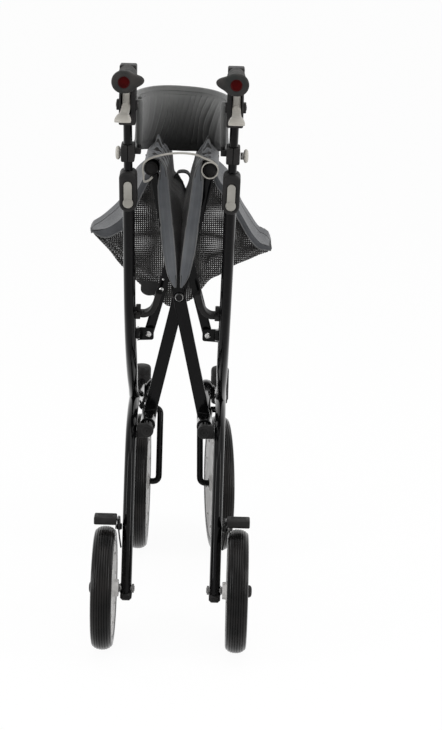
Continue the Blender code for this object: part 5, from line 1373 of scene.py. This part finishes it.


# Backrest band
# A padded grey band bows forward between the clamps. A cord is sewn in along its upper edge, its face
# is gathered into slanting folds, its colour is painted darker toward its lower edge and its middle as
# shade, and its ends slip over the rods in two sleeves.
BAND_CLOTH = woven("band_fabric", (0.112, 0.114, 0.112), (0.136, 0.138, 0.134), pitch=0.0013)
nodes, links = BAND_CLOTH.node_tree.nodes, BAND_CLOTH.node_tree.links
shaded_colour = nodes["Principled BSDF"].inputs["Base Color"]
# Painted shade: the cloth's colour is mixed toward near black toward its lower edge, more in the middle of the
# band than near its ends.
lay = nodes.new("ShaderNodeUVMap")
lay.uv_map = "cloth"
parts = nodes.new("ShaderNodeSeparateXYZ")
links.new(lay.outputs["UV"], parts.inputs[0])
ends = combined(nodes, links, "PINGPONG", parts.outputs["X"], 0.3)
shade = combined(nodes, links, "MULTIPLY", spread(nodes, links, parts.outputs["Y"], 1.0, 0.0, 0.006, 0.078),
                 spread(nodes, links, ends, 0.5, 0.86, 0.05, 0.24))
mix = nodes.new("ShaderNodeMix")
mix.data_type = "RGBA"
mix.inputs[7].default_value = (0.008, 0.008, 0.008, 1.0)
links.new(shade, mix.inputs["Factor"])
links.new(shaded_colour.links[0].from_socket, mix.inputs[6])
links.new(mix.outputs[2], shaded_colour)
BAND_TOP, BAND_AHEAD = 0.896, 0.287
BAND_HEART = 0.15 + AXLE_Y


def band_line(share):
    """Half of the band seen from above, from a rod at 0 to the middle at 1."""
    if share < 0.28:
        t = share / 0.28
        return ROD_X + 0.01 * math.sin(t * math.pi / 2), 0.0765 + 0.0585 * t
    a = (share - 0.28) / 0.72 * math.pi / 2
    return 0.0765 * math.cos(a) ** 0.85, 0.135 + (BAND_AHEAD - 0.135) * math.sin(a) ** 0.95


LOW_EDGE = ((0.0, 0.823), (0.12, 0.817), (0.28, 0.8104), (0.5, 0.7995), (0.84, 0.788), (1.0, 0.7865))
HALF_STEPS, UP_STEPS = 190, 36
line = []
for k in range(2 * HALF_STEPS + 1):
    x, y = band_line(1 - abs(k / HALF_STEPS - 1))
    line.append(Vector((-x if k < HALF_STEPS else x, y, 0)))
grid = []
for k, place in enumerate(line):
    share = 1 - abs(k / HALF_STEPS - 1)
    run = line[min(k + 1, len(line) - 1)] - line[max(k - 1, 0)]
    inward = Vector((run.y, -run.x, 0)).normalized()
    low = between(LOW_EDGE, share)
    away_from_ends = eased((share - 0.06) / 0.3)
    crowd = math.exp(-((place.x - 0.032) / 0.027) ** 2) + 0.3 * math.exp(-((place.x + 0.035) / 0.025) ** 2)
    top = BAND_TOP - 0.004 * eased(share / 0.6) - 0.045 * place.x
    column = []
    for j in range(UP_STEPS + 1):
        v = j / UP_STEPS
        z = low + (top - low) * v
        upright = max(0.0, math.sin(math.pi * min(1.0, max(0.0, (v - 0.06) / 0.84)))) ** 0.8
        phase = 2 * math.pi * (place.x - 0.24 * (z - 0.84) + 0.001 * math.sin(place.x * 130 + z * 40)) / 0.0106
        gather = 0.0034 * (1 - 2 * max(0.0, math.sin(phase)) ** 1.5) * crowd * upright
        stitched = 0.0012 * (math.exp(-((v - 0.9) / 0.014) ** 2) + math.exp(-((v - 0.1) / 0.016) ** 2))
        bulge = 0.0095 * (1 - (2 * v - 1) ** 2) * away_from_ends
        p = place + inward * (bulge + gather * away_from_ends - stitched)
        column.append(spot(p.x, p.y, z))
    grid.append(column)
bm = bmesh.new()
thick_cloth(bm, grid, 0.005, (0.6, 0.1))
plain = len(bm.faces)
cord_along(bm, [column[-1] + Vector((0, 0, -0.0006)) for column in grid[::4]], 0.003, 12)
cords = len(bm.faces)
cord_along(bm, [column[0] for column in grid[::4]], 0.0028, 12)
for row, start in ((UP_STEPS - 2, 6), (UP_STEPS - 4, 7)):
    for first in range(start, len(grid) - 8, 4):
        stitch = []
        for column in grid[first:first + 3]:
            inward = Vector((-column[row].x, BAND_HEART - column[row].y, 0)).normalized()
            stitch.append(column[row] + inward * 0.0026)
        cord_along(bm, stitch, 0.0006, 6)
bm.faces.ensure_lookup_table()
for k, face in enumerate(bm.faces[plain:]):
    face.material_index = 1 if k + plain < cords else 2
BAND_CORD = woven("band_cord_fabric", (0.115, 0.117, 0.114), (0.14, 0.142, 0.138), pitch=0.0013)
band = make("back_band", bm, (BAND_CLOTH, BAND_CORD, WEBBING), "band_left",
            ["backrest_band_left", "backrest_band_right"], angle=70)
band.parent = None
del band["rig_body"]
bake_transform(band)
SLEEVE_LOW, SLEEVE_HIGH, SLEEVE_STEPS = 0.8265, BAND_TOP + 0.0008, 18
for side, tag in SIDES:
    bm = bmesh.new()
    rows = []
    for k in range(SLEEVE_STEPS + 1):
        z = SLEEVE_LOW + (SLEEVE_HIGH - SLEEVE_LOW) * k / SLEEVE_STEPS
        size = (0.72 if k in (0, SLEEVE_STEPS) else 1.0) + 0.03 * math.sin(k * 2.1)
        rows.append([spot(side * (ROD_X + 0.0052 * size * c), 0.0708 + 0.0062 * size * s, z)
                     for c, s in turns(24)])
    grid_faces(bm, rows, around=True, capped=True)
    # The sleeve's layout puts it in the band cloth's painted shade, darker toward the bottom.
    layer = bm.loops.layers.uv["cloth"]
    for loop in [loop for face in bm.faces for loop in face.loops]:
        loop[layer].uv = (0.12, (loop.vert.co.z - SLEEVE_LOW) * 1.2)
    make(f"band_sleeve_{tag}", bm, BAND_CLOTH, f"band_{tag}", angle=60)


# Fold strap
# A flexible moulded strap keeps the frame shut: its ring sits on the end of the right rail and its
# other end hooks over the left one.
STRAP_ARCH = mm(2, 58.5, 791.5, 55, 795.5, 49, 799.6, 38.4, 803.8, 22.3, 809.6, -1.7, 811.2, -25.6, 808.5,
                -47.2, 802.2, -57.8, 794.6, -60.6, 785, -59.2, 773.5, -58, 764, -50, 766.5, -45, 771.5)
STRAP_Y = RAIL_REAR - 0.0015
bm = bmesh.new()
lathe(bm, mm(2, 12.2, -4.5, 13.4, -4.5, 13.8, -4.1, 13.8, 4.1, 13.4, 4.5, 12.2, 4.5),
      spot(RAIL_X, STRAP_Y, RAIL_Z), (0, 1, 0), 48)
middle = smooth_path([(x, z, 0) for x, z in STRAP_ARCH], 8)
sketch(bm, [widened(middle, lambda t: 0.0011 + 0.0003 * eased((t - 0.9) / 0.1))], 0.0089, 0.0005,
       standing(STRAP_Y))
make("hold_strap", bm, WARM_GREY, "strap", ["fold_strap"])
